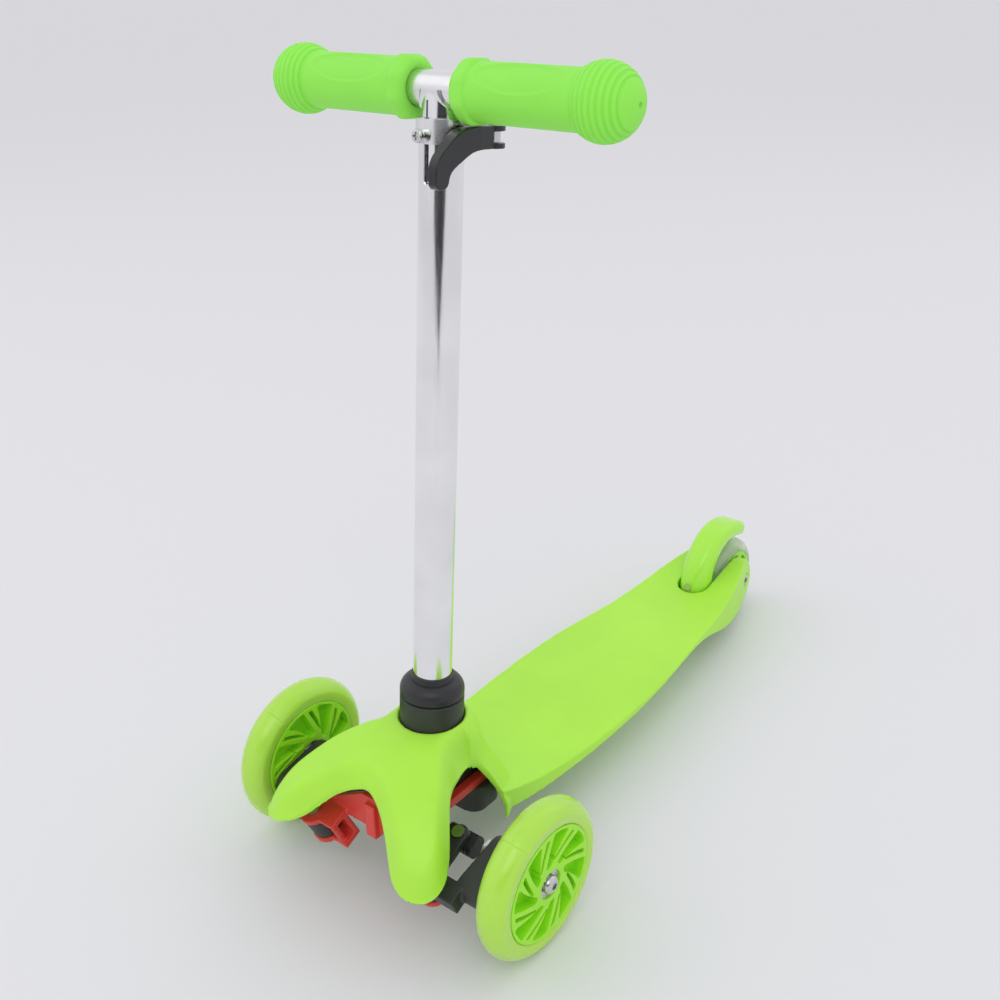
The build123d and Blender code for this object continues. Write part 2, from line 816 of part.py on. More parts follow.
def socket_cap():
    """Bell-shaped cap that closes the collar round the stem tube."""
    spigot = collar_radius - cap_spigot
    shoulder = cap_rise + cap_shoulder
    swell_radius = (collar_radius + cap_neck_radius) / 2 + cap_dome_swell
    swell = (swell_radius, (shoulder + cap_top + cap_dome_swell) / 2)
    dome = ThreePointArc((collar_radius, shoulder), swell, (cap_neck_radius, cap_top))
    outline = dome + Polyline(
        (cap_neck_radius, cap_top), (cap_neck_radius - cap_neck_taper, cap_neck_top),
        (stem_radius, cap_neck_top), (stem_radius, collar_top), (spigot, collar_top), (spigot, cap_rise),
        (collar_radius, cap_rise), (collar_radius, shoulder))
    return turned(stem_frame, outline)


def stem_tube():
    """Outer tube with a slit at its top for the clamp."""
    tube = sleeve((0, 0, stem_bottom), (0, 0, stem_top), stem_radius, stem_radius - stem_tube_wall)
    slit = block((-slit_width / 2, -stem_radius - 1.0, slit_bottom), (slit_width / 2, 0, stem_top))
    slit += rod((0, -stem_radius - 1.0, slit_bottom), (0, 0, slit_bottom), slit_width / 2)
    tube -= slit
    tube -= Pos(0, 0, stem_bolt_height) * Rot(0, 90, 0) * Cylinder(stem_bolt_radius, 3 * stem_radius)
    return stem_frame * tube


def stem_bolt():
    """Cross bolt that holds the stem tube in its socket."""
    reach = socket_radius
    bolt = rod((-reach, 0, stem_bolt_height), (reach, 0, stem_bolt_height), stem_bolt_radius)
    for side in (1, -1):
        face = side * (reach + stem_bolt_head)
        bolt += rod((side * reach, 0, stem_bolt_height), (face, 0, stem_bolt_height), 2 * stem_bolt_radius)
    return stem_frame * bolt


def inner_tube():
    """Sliding tube with a keyway in front, cut to a fish mouth where the crossbar is welded on."""
    bore = inner_radius - inner_tube_wall
    tube = sleeve((0, 0, inner_tube_bottom), (0, 0, crossbar_height), inner_radius, bore)
    bar = rod((-stem_radius, 0, crossbar_height), (stem_radius, 0, crossbar_height), crossbar_radius)
    keyway = block((-slit_width / 2, -stem_radius, inner_tube_bottom + bush_length),
                   (slit_width / 2, -inner_radius + keyway_depth, crossbar_height - keyway_top_drop))
    return stem_frame * (tube - bar - keyway)


def inner_tube_bush():
    """Plastic bush in the foot of the inner tube, its rim running in the stem tube."""
    spigot_top = inner_tube_bottom + bush_length
    spigot = sleeve((0, 0, inner_tube_bottom), (0, 0, spigot_top), inner_radius - inner_tube_wall,
                    inner_radius - 2 * inner_tube_wall)
    rim = sleeve((0, 0, inner_tube_bottom - bush_rim), (0, 0, inner_tube_bottom),
                 stem_radius - stem_tube_wall - run_clearance, inner_radius - 2 * inner_tube_wall)
    return stem_frame * (spigot + rim)


def crossbar_frame(side):
    """Frame on the crossbar whose Z axis points to one side."""
    at = stem_frame.from_local_coords((0, 0, crossbar_height))
    return Plane(origin=at, x_dir=(0, side * math.cos(lean), -side * math.sin(lean)), z_dir=(side, 0, 0))


def crossbar():
    """Aluminium crossbar."""
    half = handlebar_width / 2 - grip_end_wall
    bar = sleeve((0, 0, -half), (0, 0, half), crossbar_radius, crossbar_radius - crossbar_wall)
    return crossbar_frame(1) * bar


def handlebar_weld():
    """Weld bead round the fish mouth."""
    band = Pos(0, 0, crossbar_height) * Rot(0, 90, 0) * Cylinder(crossbar_radius + weld_size, 2 * stem_radius)
    band -= Pos(0, 0, crossbar_height) * Rot(0, 90, 0) * Cylinder(crossbar_radius, 2 * stem_radius)
    ring = sleeve((0, 0, crossbar_height - stem_radius), (0, 0, crossbar_height), inner_radius + weld_size,
                  inner_radius)
    return stem_frame * (band & ring)


def grip(side):
    """Rubber grip: flange, barrel with palm reliefs, and a round bulb with grooves at the end."""
    start = grip_inner_end
    end = handlebar_width / 2
    bulb = end - math.sqrt(grip_bulb_radius ** 2 - grip_cap_hole ** 2)
    bulb_start = 180 - math.degrees(math.asin(grip_barrel_radius / grip_bulb_radius))
    bore_end = end - grip_end_wall
    pitch = (bulb_start - grip_cap_angle) / grip_groove_count

    def on_bulb(angle, depth):
        along, out = polar(grip_bulb_radius - depth, angle)
        return (out, bulb + along)

    grooves = []
    for count in range(grip_groove_count):
        angle = bulb_start - (count + 0.5) * pitch
        edge = pitch * grip_groove_share
        grooves += [on_bulb(angle + edge, 0), on_bulb(angle, grip_groove_depth), on_bulb(angle - edge, 0)]
    profile = Polyline((crossbar_radius, start), (grip_barrel_radius, start), on_bulb(bulb_start, 0),
                       *grooves, on_bulb(grip_cap_angle, 0))
    profile += ThreePointArc(on_bulb(grip_cap_angle, 0), on_bulb(grip_cap_angle / 2, 0), (grip_cap_hole, end))
    hole_floor = end - grip_cap_depth
    profile += Polyline((grip_cap_hole, end), (grip_cap_hole, hole_floor), (0, hole_floor), (0, bore_end),
                        (crossbar_radius, bore_end), (crossbar_radius, start))
    body = turned(Plane.XY, profile)
    octagon = RegularPolygon(grip_flange_radius, grip_flange_sides, major_radius=False)
    ring = Rot(0, 0, 180 / grip_flange_sides) * extrude(octagon, amount=grip_flange_length)
    ring = Pos(0, 0, start) * ring
    ring = chamfer(ring.edges().group_by(Axis.Z)[0], grip_flange_chamfer)
    body += ring - Pos(0, 0, start) * Cylinder(crossbar_radius, grip_flange_length, align=low_align)
    barrel_end = on_bulb(bulb_start, 0)[1]
    middle = (start + grip_flange_length + barrel_end) / 2
    relief = extrude(Ellipse(palm_length / 2, palm_height / 2), amount=palm_depth * 4)
    for turn in (0, 180):
        at = Rot(0, 0, turn) * Pos(grip_barrel_radius - palm_depth, 0, middle) * Rot(0, 90, 0)
        skin = Cylinder(grip_barrel_radius + palm_depth, 2 * end)
        skin -= Cylinder(grip_barrel_radius - palm_depth, 2 * end)
        body -= (at * Pos(0, 0, -palm_depth * 2) * relief) & skin
    return crossbar_frame(side) * body


def clamp_collar():
    """Split collar with two ears behind and a guide boss in front."""
    collar = Pos(0, 0, clamp_rise) * Cylinder(clamp_radius, clamp_length)
    ear_half = clamp_ear_length / 2
    ears = block((-clamp_ear_outer, 0, -ear_half), (clamp_ear_outer, clamp_ear_reach, ear_half))
    boss = rod((0, 0, 0), (0, -guide_boss_reach, 0), guide_boss_radius)
    collar += ears + boss
    collar -= block((-clamp_gap / 2, 0, -clamp_length), (clamp_gap / 2, clamp_ear_reach + 1.0, clamp_length))
    collar -= Cylinder(stem_radius, clamp_length * 2)
    collar -= rod((-clamp_ear_outer, clamp_bolt_y, 0), (clamp_ear_outer, clamp_bolt_y, 0), clamp_bolt_radius)
    collar -= rod((0, 0, 0), (0, -guide_boss_reach, 0), guide_screw_radius)
    return stem_frame * Pos(0, 0, clamp_height) * collar


def clamp_fittings():
    """Eye bolt, nut, cam seat, cross pin and guide screw of the clamp."""
    at = stem_frame * Pos(0, 0, clamp_height)
    eye_height = lever_slot - free_gap * 2
    tail = -clamp_ear_outer - clamp_nut_height
    eye_bolt = rod((tail, clamp_bolt_y, 0), (lever_pin_x, clamp_bolt_y, 0), clamp_bolt_radius)
    eye_bolt += Pos(lever_pin_x, clamp_bolt_y, 0) * Cylinder(2 * lever_pin_radius, eye_height)
    eye_bolt -= Pos(lever_pin_x, clamp_bolt_y, 0) * Cylinder(lever_pin_radius, eye_height)
    save("clamp_bolt", at * eye_bolt)
    nut_frame = Plane(origin=(tail, clamp_bolt_y, 0), x_dir=(0, 1, 0), z_dir=(1, 0, 0))
    nut = hexagon_bar(nut_frame, clamp_nut_size, clamp_nut_height)
    nut -= rod((tail, clamp_bolt_y, 0), (-clamp_ear_outer, clamp_bolt_y, 0), clamp_bolt_radius)
    save("clamp_nut", at * nut)
    seat_end = clamp_ear_outer + cam_seat
    seat = sleeve((clamp_ear_outer, clamp_bolt_y, 0), (seat_end, clamp_bolt_y, 0), clamp_ear_length / 2,
                  clamp_bolt_radius)
    save("clamp_cam_seat", at * seat)
    pin = Pos(lever_pin_x, clamp_bolt_y, 0) * Cylinder(lever_pin_radius, lever_height + 1.0)
    save("lever_pin", at * pin)
    face = -guide_boss_reach
    head = rod((0, face, 0), (0, face - guide_head_height, 0), guide_head_radius)
    head = fillet(head.edges().group_by(Axis.Y)[0], guide_head_height / 2)
    cross = block((-0.6, face - guide_head_height, -2.4), (0.6, face - guide_head_height / 2, 2.4))
    cross += block((-2.4, face - guide_head_height, -0.6), (2.4, face - guide_head_height / 2, 0.6))
    shank = rod((0, face, 0), (0, -inner_radius + keyway_depth - free_gap, 0), guide_screw_radius)
    save("clamp_guide_screw", at * (head + shank - cross))


def clamp_lever():
    """Cam lever: fork round the eye bolt, straight arm, and a horn that curves down."""
    half = lever_height / 2
    rear = clamp_bolt_y
    bend = (lever_bend_y, half)
    horn = [bend, (lever_bend_y - 20.5, half - 4.2), (lever_bend_y - 33.5, half - 14.2),
            (-lever_reach, half - 26.3)]
    tip = (lever_tip_width / 2 - lever_reach, half - lever_drop)
    inside = [(lever_tip_width - lever_reach, tip[1] + 4.4), (-18.3, -half - 8.4), (-7.3, -half - 2.6),
              (lever_web_end, -half)]
    edges = Polyline((rear, -half), (rear, half), bend)
    edges += Spline(*horn, tangents=[(-1, 0), (0.1, -1)])
    edges += ThreePointArc(horn[-1], tip, inside[0])
    edges += Spline(*inside, tangents=[(0.1, 1), (1, 0)])
    edges += Line(inside[-1], (rear, -half))
    inner = lever_pin_x - lever_thickness / 2
    arm = extrude(make_face(Plane.YZ * edges), amount=lever_thickness)
    arm = Pos(inner, 0, 0) * arm
    outer = inner + lever_thickness
    tip_inner = (inner + lever_tip_inside, -lever_reach)
    tip_outer = (outer - lever_tip_outside, -lever_reach)
    plan = Polyline((inner, rear), (inner, lever_bend_y), tip_inner, tip_outer, (outer, lever_bend_y),
                    (outer, rear), close=True)
    arm &= Pos(0, 0, -2 * lever_drop) * extrude(make_face(plan), amount=4 * lever_drop)
    cam = Pos(lever_pin_x, clamp_bolt_y, 0) * Cylinder(cam_radius, lever_height)
    lever = arm + cam
    slot_front_y = clamp_bolt_y - 2 * lever_pin_radius - free_gap
    lever -= block((0, slot_front_y, -lever_slot / 2), (2 * lever_pin_x, clamp_ear_reach * 2, lever_slot / 2))
    lever -= Pos(lever_pin_x, clamp_bolt_y, 0) * Cylinder(lever_pin_radius + run_clearance, lever_height * 2)
    return stem_frame * Pos(0, 0, clamp_height) * lever


def stem_and_handlebar():
    """Stem, sliding handlebar and height clamp."""
    save("stem_socket", stem_socket())
    save("socket_cap", socket_cap())
    save("stem_tube", stem_tube())
    save("stem_bolt", stem_bolt())
    save("inner_tube", inner_tube())
    save("inner_tube_bush", inner_tube_bush())
    save("crossbar", crossbar())
    save("handlebar_weld", handlebar_weld())
    for name, side in sides.items():
        save(f"grip_{name}", grip(side))
    save("clamp_collar", clamp_collar())
    clamp_fittings()
    save("clamp_lever", clamp_lever())


def kingpin_frame(side):
    """Frame on one kingpin, its Z axis along the leaning pin."""
    return Plane(origin=(side * kingpin_x, kingpin_y, kingpin_z), x_dir=(1, 0, 0), z_dir=kingpin_direction)


def steering_bridge():
    """Red bridge: two plates that hold the kingpins, a fascia, and two arms back to the socket."""
    half = bridge_opening_half
    bridge = block((-kingpin_x, -6.0, lug_inside), (kingpin_x, 13.0, lug_outside))
    bridge += block((-kingpin_x, -6.0, -lug_outside), (kingpin_x, 10.0, -lug_inside))
    for side in (1, -1):
        x = side * kingpin_x
        bridge += rod((x, 0, lug_inside), (x, 0, lug_outside), lug_radius)
        bridge += rod((x, 0, -lug_outside), (x, 0, -lug_inside), lug_radius)
    bridge += block((-bridge_web_half, 6.0, -lug_outside), (bridge_web_half, 6.0 + bridge_wall, lug_outside))
    bridge -= block((-half, -lug_outside, -2 * lug_outside), (half, lug_outside, 2 * lug_outside))
    for side in (1, -1):
        post = side * (bridge_web_half - 3.0)
        bridge += rod((post, -2.0, -lug_outside), (post, -2.0, lug_outside), 3.0)
        x = side * kingpin_x
        bridge -= rod((x, 0, -2 * lug_outside), (x, 0, 2 * lug_outside), kingpin_radius)
    bridge = bridge_frame * bridge
    foot = kingpin_z + lug_outside - 2.0
    shoulder = foot + 8.0
    wing = bridge_web_half + bridge_wing
    crest = 12.0
    outline = Polyline((-wing, foot), (wing, foot), (wing, shoulder), (crest, bridge_top),
                       (-crest, bridge_top), (-wing, shoulder), close=True)
    back = bridge_front + bridge_wall
    fascia = Pos(0, back, 0) * extrude(make_face(Plane.XZ * outline), amount=bridge_wall)
    rib = block((-5.0, bridge_front - 5.0, kingpin_z + lug_inside), (5.0, back, bridge_top - 3.0))
    bridge += fascia + rib
    arm_top = socket_ledge + bridge_arm_height
    for side in (1, -1):
        edges = sorted((side * bridge_arm_inner, side * bridge_arm_outer))
        arm = block((edges[0], bridge_front, socket_ledge), (edges[1], bridge_arm_end, arm_top))
        x = sum(edges) / 2
        pilot = screw_radius + run_clearance
        arm -= rod((x, bridge_screw_y, socket_ledge), (x, bridge_screw_y, arm_top), pilot)
        bridge += arm
    return bridge


def bridge_screws():
    """Two screws that hold the bridge's arms on the socket."""
    arm_top = socket_ledge + bridge_arm_height
    screws = []
    for side in (1, -1):
        x = side * (bridge_arm_inner + bridge_arm_outer) / 2
        shank = rod((x, bridge_screw_y, socket_ledge - 10.0), (x, bridge_screw_y, arm_top), screw_radius)
        head_top = arm_top + screw_head_height
        head = rod((x, bridge_screw_y, arm_top), (x, bridge_screw_y, head_top), screw_head_radius)
        screws.append(shank + head)
    return joined(screws)


def socket_screws():
    """Four screws from below that hold the socket's tongue on the deck."""
    foot = tongue_top - tongue_thickness
    screws = []
    for x, y in boss_places():
        shank = rod((x, y, foot), (x, y, tongue_top + 5.5), screw_radius)
        head = rod((x, y, foot - screw_head_height), (x, y, foot), screw_head_radius)
        screws.append(shank + head)
    return joined(screws)


def kingpin():
    """Kingpin with a round head on top, in its own frame."""
    tail = lug_outside + kingpin_head + 1.0
    pin = rod((0, 0, -tail), (0, 0, lug_outside), kingpin_radius)
    return pin + rod((0, 0, lug_outside), (0, 0, lug_outside + kingpin_head), 1.7 * kingpin_radius)


def kingpin_nut():
    """Nut under the lower lug, in the kingpin's frame."""
    nut = hexagon_bar(Plane.XY.offset(-lug_outside - kingpin_head), kingpin_nut_size, kingpin_head)
    return nut - rod((0, 0, -2 * lug_outside), (0, 0, 0), kingpin_radius)


def tie_line():
    """Height of the tie rod's axis in the bridge's frame, just under the steering arms."""
    return -steering_arm_thickness / 2 - free_gap - tie_end_radius + tie_flat()


def tie_flat():
    """Depth of the flat on the rod's ends that the steering arms lie on."""
    return tie_end_radius * 0.25


def knuckle(side):
    """Knuckle: barrel on the kingpin, steering arm behind, and an upright that carries the wheel's axle."""
    barrel = Cylinder(barrel_radius, barrel_length)
    reach = upright_inner - kingpin_x + 6.0
    edges = sorted((0, side * reach))
    outrigger = block((edges[0], -knuckle_arm_half, outrigger_bottom),
                      (edges[1], knuckle_arm_half, barrel_length / 2))
    half = steering_arm_width / 2
    arm = block((-half, 0, -steering_arm_thickness / 2), (half, steering_arm, steering_arm_thickness / 2))
    arm += Pos(0, steering_arm, 0) * Cylinder(eye_radius, steering_arm_thickness)
    body = barrel + outrigger + arm
    body -= Cylinder(bush_radius, barrel_length)
    eye_slack = run_clearance if side > 0 else free_gap
    body -= Pos(0, steering_arm, 0) * Cylinder(pivot_radius + eye_slack, steering_arm_thickness)
    body = kingpin_frame(side) * body
    foot_y = kingpin_y + upright_foot_back
    foot_z = kingpin_z + upright_foot_rise
    circles = Pos(0, front_radius) * Circle(upright_boss) + Pos(foot_y, foot_z) * Circle(upright_foot)
    plate = extrude(Plane.YZ * make_hull(circles.edges()), amount=upright_outer - upright_inner)
    plate = Pos(upright_inner, 0, 0) * plate
    if side < 0:
        plate = mirror(plate, about=Plane.YZ)
    bore = rod((side * upright_inner, 0, front_radius), (side * upright_outer, 0, front_radius), axle_radius)
    return body + plate - bore


def kingpin_bush():
    """Rubber bush between the kingpin and the knuckle's barrel, in the kingpin's frame."""
    return Cylinder(bush_radius, barrel_length) - Cylinder(kingpin_radius + run_clearance, barrel_length)


def tie_rod():
    """Rod that ties both steering arms together, with ribbed ends."""
    height = tie_line()
    end = kingpin_x + tie_end_reach
    rod_body = rod((-kingpin_x, steering_arm, height), (kingpin_x, steering_arm, height), tie_rod_radius)
    for side in (1, -1):
        start = side * (end - tie_end_length)
        barrel = rod((start, steering_arm, height), (side * end, steering_arm, height), tie_end_radius)
        pitch = (tie_end_reach - 2.0) / tie_groove_count
        for count in range(tie_groove_count):
            x = end - 2.0 - count * pitch
            groove_start = (side * (x - pitch * 0.35), steering_arm, height)
            barrel -= sleeve(groove_start, (side * x, steering_arm, height), tie_end_radius,
                             tie_end_radius - tie_groove_depth)
        rod_body += barrel
        x = side * kingpin_x
        rod_body -= rod((x, steering_arm, height - 1.0), (x, steering_arm, 0), pivot_radius)
    flat = -steering_arm_thickness / 2 - free_gap
    rod_body -= block((-2 * kingpin_x, 0, flat), (2 * kingpin_x, 2 * steering_arm, flat + tie_end_radius))
    return bridge_frame * rod_body


def tie_rod_screws():
    """Screws that pivot in the steering arms and hold the rod's ends."""
    height = tie_line()
    top = steering_arm_thickness / 2 + free_gap
    screws = []
    for side in (1, -1):
        x = side * kingpin_x
        shank = rod((x, steering_arm, height - 1.0), (x, steering_arm, top), pivot_radius)
        head = rod((x, steering_arm, top), (x, steering_arm, top + screw_head_height), 1.6 * pivot_radius)
        screws.append(bridge_frame * (shank + head))
    return joined(screws)


def steering():
    """Bridge, kingpins, knuckles and tie rod."""
    save("steering_bridge", steering_bridge())
    save("bridge_screws", bridge_screws())
    save("socket_screws", socket_screws())
    nuts = []
    for name, side in sides.items():
        frame = kingpin_frame(side)
        save(f"kingpin_{name}", frame * kingpin())
        save(f"kingpin_bush_{name}", frame * kingpin_bush())
        save(f"knuckle_{name}", knuckle(side))
        nuts.append(frame * kingpin_nut())
    save("kingpin_nuts", joined(nuts))
    save("tie_rod", tie_rod())
    save("tie_rod_screws", tie_rod_screws())


def fender_line():
    """Points (y, z) along the fender's outer face, from its foot in the slot to its tip."""
    front = wheelbase + fender_front
    return [
        (front, brake_pin_z - 7.0),
        (front + 0.5, brake_pin_z + 12.0),
        (front + 4.0, brake_pin_z + 24.0),
        (front + 10.0, brake_pin_z + 35.0),
        (front + 20.0, brake_pin_z + 46.5),
        (front + 37.0, brake_pin_z + 57.5),
        (front + 55.0, brake_pin_z + 62.0),
        (front + 71.0, brake_pin_z + 61.0),
        (front + 83.0, brake_pin_z + 57.8),
        (front + 92.0, brake_pin_z + 53.0),
        (front + 98.0, brake_pin_z + 46.5),
    ]


def fender_edge():
    """Points (y, z) along the free edge of the fender's sides, from its tip back to its foot."""
    front = wheelbase + fender_front
    return [
        (front + 93.5, brake_pin_z + 41.5),
        (front + 86.0, brake_pin_z + 45.2),
        (front + 75.0, brake_pin_z + 48.2),
        (front + 59.0, brake_pin_z + 49.5),
        (front + 43.5, brake_pin_z + 46.5),
        (front + 34.0, brake_pin_z + 38.0),
        (front + 29.0, brake_pin_z + 27.0),
        (front + 25.0, brake_pin_z + 11.0),
        (front + 23.0, brake_pin_z - 7.0),
    ]


def inward(points, distance):
    """Points of an open line moved to its right-hand side."""
    moved = []
    for count, (y, z) in enumerate(points):
        y_low, z_low = points[max(count - 1, 0)]
        y_high, z_high = points[min(count + 1, len(points) - 1)]
        length = math.hypot(y_high - y_low, z_high - z_low)
        moved.append((y + (z_high - z_low) / length * distance, z - (y_high - y_low) / length * distance))
    return moved


def brake_fender():
    """Channel-shaped fender with a round front, pressed down to brake."""
    outer = fender_line()
    edge = fender_edge()
    skin = Spline(*outer) + Line(outer[-1], edge[0]) + Spline(*edge) + Line(edge[-1], outer[0])
    channel = side_prism(skin, fender_half_width)
    round_y = wheelbase + fender_front + fender_half_width
    rear = round_y + 2 * rear_wheel_diameter
    plan = Pos(0, round_y) * Circle(fender_half_width)
    plan += Pos(0, (round_y + rear) / 2) * Rectangle(2 * fender_half_width, rear - round_y)
    channel &= extrude(plan, amount=4 * fork_top)
    inside = inward(outer, fender_skin)
    tail = inside[-1]
    below = Polyline(tail, (tail[0] + fender_skin, tail[1] - fender_skin), (tail[0], 0), (inside[0][0], 0),
                     inside[0])
    inside_half = fender_half_width - fender_flange
    room = side_prism(Spline(*inside) + below, inside_half)
    inner_plan = Pos(0, round_y) * Circle(inside_half)
    inner_plan += Pos(0, (round_y + rear) / 2) * Rectangle(2 * inside_half, rear - round_y)
    room &= extrude(inner_plan, amount=4 * fork_top)
    fender = channel - room
    pin = (wheelbase + brake_pin_y, brake_pin_z)
    for side in (1, -1):
        boss_start = (side * (spring_half_length + 1.0), *pin)
        fender += rod(boss_start, (side * (inside_half + 0.5), *pin), 2 * brake_pin_radius)
    fender -= rod((-fender_half_width, *pin), (fender_half_width, *pin), brake_pin_radius + run_clearance)
    screw = brake_screw_place()
    fender -= rod((0, screw[0] - 1.0, screw[1]), (0, screw[0] + 2 * fender_skin, screw[1]), screw_radius)
    return fender


def brake_screw_place():
    """Place (y, z) where the fender's screw head sits."""
    y, z = fender_line()[1]
    return (y - free_gap, z + 2.0)


def brake_pieces():
    """Fender, its screw and wear plate, and the pin and spring that carry it."""
    save("brake_fender", brake_fender())
    y, z = brake_screw_place()
    head = rod((0, y - screw_head_height + 0.5, z), (0, y + 0.5, z), screw_head_radius)
    shank = rod((0, y, z), (0, y + 2 * fender_skin, z), screw_radius)
    head -= block((-deck_wall, y, z - deck_wall), (deck_wall, y + fender_skin, z + deck_wall))
    save("brake_screw", head + shank)
    outer = fender_line()[5:10]
    upper = inward(outer, fender_skin + free_gap)
    lower = inward(outer, fender_skin + free_gap + brake_plate_thickness)
    lower.reverse()
    strip = Spline(*upper) + Line(upper[-1], lower[0]) + Spline(*lower) + Line(lower[-1], upper[0])
    save("brake_plate", side_prism(strip, brake_plate_half))
    pin = (wheelbase + brake_pin_y, brake_pin_z)
    reach = slot_half_width + deck_wall
    save("brake_pin", rod((-reach, *pin), (reach, *pin), brake_pin_radius))
    spring = sleeve((-spring_half_length, *pin), (spring_half_length, *pin), spring_radius, brake_pin_radius)
    leg_top = brake_pin_z - (brake_pin_radius + spring_radius) / 2
    for side in (1, -1):
        x = side * (spring_half_length - 2 * spring_wire)
        spring += rod((x, pin[0], leg_top - 2 * spring_radius), (x, pin[0], leg_top), spring_wire)
    save("brake_spring", spring)


os.makedirs("parts", exist_ok=True)
save("deck", deck())
stem_and_handlebar()
steering()
front_wheels()
rear_wheel()
brake_pieces()
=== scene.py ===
"""Looks of a small three-wheel kick scooter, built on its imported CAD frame.

Lengths are in metres in the CAD frame: +Z up, -Y the riding direction, +X the rider's left.
"""

from __future__ import annotations

import logging
import math
from dataclasses import dataclass, field
from enum import Enum
from typing import Sequence

import bmesh
import bpy
import numpy as np
from mathutils import Matrix

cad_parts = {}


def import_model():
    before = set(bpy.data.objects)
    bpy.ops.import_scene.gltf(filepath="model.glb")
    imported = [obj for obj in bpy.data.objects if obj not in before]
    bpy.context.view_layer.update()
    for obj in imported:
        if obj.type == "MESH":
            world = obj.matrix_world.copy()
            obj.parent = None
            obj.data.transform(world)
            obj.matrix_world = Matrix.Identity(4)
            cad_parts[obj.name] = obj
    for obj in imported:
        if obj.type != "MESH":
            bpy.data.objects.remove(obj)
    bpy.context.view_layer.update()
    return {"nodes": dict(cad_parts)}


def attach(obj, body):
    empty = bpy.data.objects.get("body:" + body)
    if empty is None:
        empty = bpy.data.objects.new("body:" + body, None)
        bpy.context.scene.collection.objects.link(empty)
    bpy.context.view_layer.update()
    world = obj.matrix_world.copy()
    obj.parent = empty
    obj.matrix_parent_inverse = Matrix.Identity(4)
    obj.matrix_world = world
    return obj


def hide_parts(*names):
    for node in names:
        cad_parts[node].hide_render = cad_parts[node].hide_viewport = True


LOG = logging.getLogger("kick_scooter")
MM = 0.001

FRONT_AXLE_Y = -0.226
REAR_AXLE_Y = 0.264
STEM_LEAN = math.radians(5.0)
STEM_BEHIND_AXLE = 17.1
STEM_FOOT_Y = FRONT_AXLE_Y + STEM_BEHIND_AXLE * MM
MERGE_DISTANCE = 1e-6
DEGENERATE_LENGTH = 1e-7

Colour = tuple[float, float, float]


class Side(Enum):
    """The rider's two sides, as the sign of X."""

    LEFT = 1
    RIGHT = -1

    @property
    def word(self) -> str:
        """Name of the side as the CAD nodes use it."""
        return self.name.lower()


# Mesh helpers


def mesh_object(name: str, points: np.ndarray, quads: np.ndarray, smooth: bool = True) -> bpy.types.Object:
    """Make an object from vertex and face arrays, with doubles merged and faces turned outwards.

    Args:
        name: object name.
        points: array of shape (n, 3) in metres.
        quads: array of shape (m, 4) of vertex numbers.
        smooth: whether faces are shaded smooth.

    Returns:
        The linked object.
    """
    mesh = bpy.data.meshes.new(name)
    mesh.from_pydata(points.tolist(), [], quads.tolist())
    work = bmesh.new()
    work.from_mesh(mesh)
    bmesh.ops.remove_doubles(work, verts=work.verts, dist=MERGE_DISTANCE)
    bmesh.ops.dissolve_degenerate(work, edges=work.edges, dist=DEGENERATE_LENGTH)
    bmesh.ops.recalc_face_normals(work, faces=work.faces)
    work.to_mesh(mesh)
    work.free()
    mesh.polygons.foreach_set("use_smooth", np.full(len(mesh.polygons), smooth))
    obj = bpy.data.objects.new(name, mesh)
    bpy.context.scene.collection.objects.link(obj)
    return obj


def grid_quads(rows: int, columns: int, close_rows: bool, close_columns: bool) -> np.ndarray:
    """Faces of a grid of rows by columns, closed on itself where asked.

    Args:
        rows: number of grid rows.
        columns: number of grid columns.
        close_rows: join the last row to the first.
        close_columns: join the last column to the first.

    Returns:
        Array of shape (m, 4) of vertex numbers.
    """
    number = np.arange(rows * columns).reshape(rows, columns)
    if close_rows:
        number = np.vstack([number, number[:1]])
    if close_columns:
        number = np.hstack([number, number[:, :1]])
    corners = (number[:-1, :-1], number[1:, :-1], number[1:, 1:], number[:-1, 1:])
    return np.stack(corners, axis=-1).reshape(-1, 4)


def even_turn(turns: int) -> np.ndarray:
    """Angles of even steps once round."""
    return np.linspace(0.0, 2.0 * np.pi, turns, endpoint=False)


def turned_surface(profile: np.ndarray, angle: np.ndarray) -> np.ndarray:
    """Points of a profile turned about Z: x = r cos(a), y = r sin(a), z = h.

    Args:
        profile: array of shape (n, 2) of radius and height.
        angle: angles round the axis.

    Returns:
        Array of shape (n, angles, 3).
    """
    radius = profile[:, 0][:, None]
    height = np.broadcast_to(profile[:, 1][:, None], (len(profile), len(angle)))
    return np.stack([radius * np.cos(angle), radius * np.sin(angle), height], axis=-1)


def placed(points: np.ndarray, origin: np.ndarray, axes: np.ndarray) -> np.ndarray:
    """Points of a local frame in the CAD frame: origin plus each coordinate times its axis.

    Args:
        points: array with a last axis of 3.
        origin: place of the local frame.
        axes: 3 by 3 array whose rows are the local X, Y and Z axes.

    Returns:
        Array of the same shape.
    """
    return origin + points @ axes


def resampled(points: Sequence[Sequence[float]], count: int) -> np.ndarray:
    """Smooth line through a few points, as a Catmull-Rom curve read at even steps.

    Args:
        points: corner points of the line.
        count: number of points wanted.

    Returns:
        Array of shape (count, dimensions).
    """
    known = np.asarray(points, float)
    ends = np.vstack([2 * known[0] - known[1], known, 2 * known[-1] - known[-2]])
    place = np.linspace(0.0, len(known) - 1.0, count)
    low = np.minimum(place.astype(int), len(known) - 2)
    t = (place - low)[:, None]
    before, start, end, after = (ends[low + step] for step in range(4))
    return 0.5 * (
        2 * start
        + (end - before) * t
        + (2 * before - 5 * start + 4 * end - after) * t**2
        + (3 * start - before - 3 * end + after) * t**3
    )


def stem_axes() -> np.ndarray:
    """Local axes of the leaning stem: X across, Y rearwards, Z up the stem."""
    sine = math.sin(STEM_LEAN)
    cosine = math.cos(STEM_LEAN)
    return np.array([[1.0, 0.0, 0.0], [0.0, cosine, -sine], [0.0, sine, cosine]])


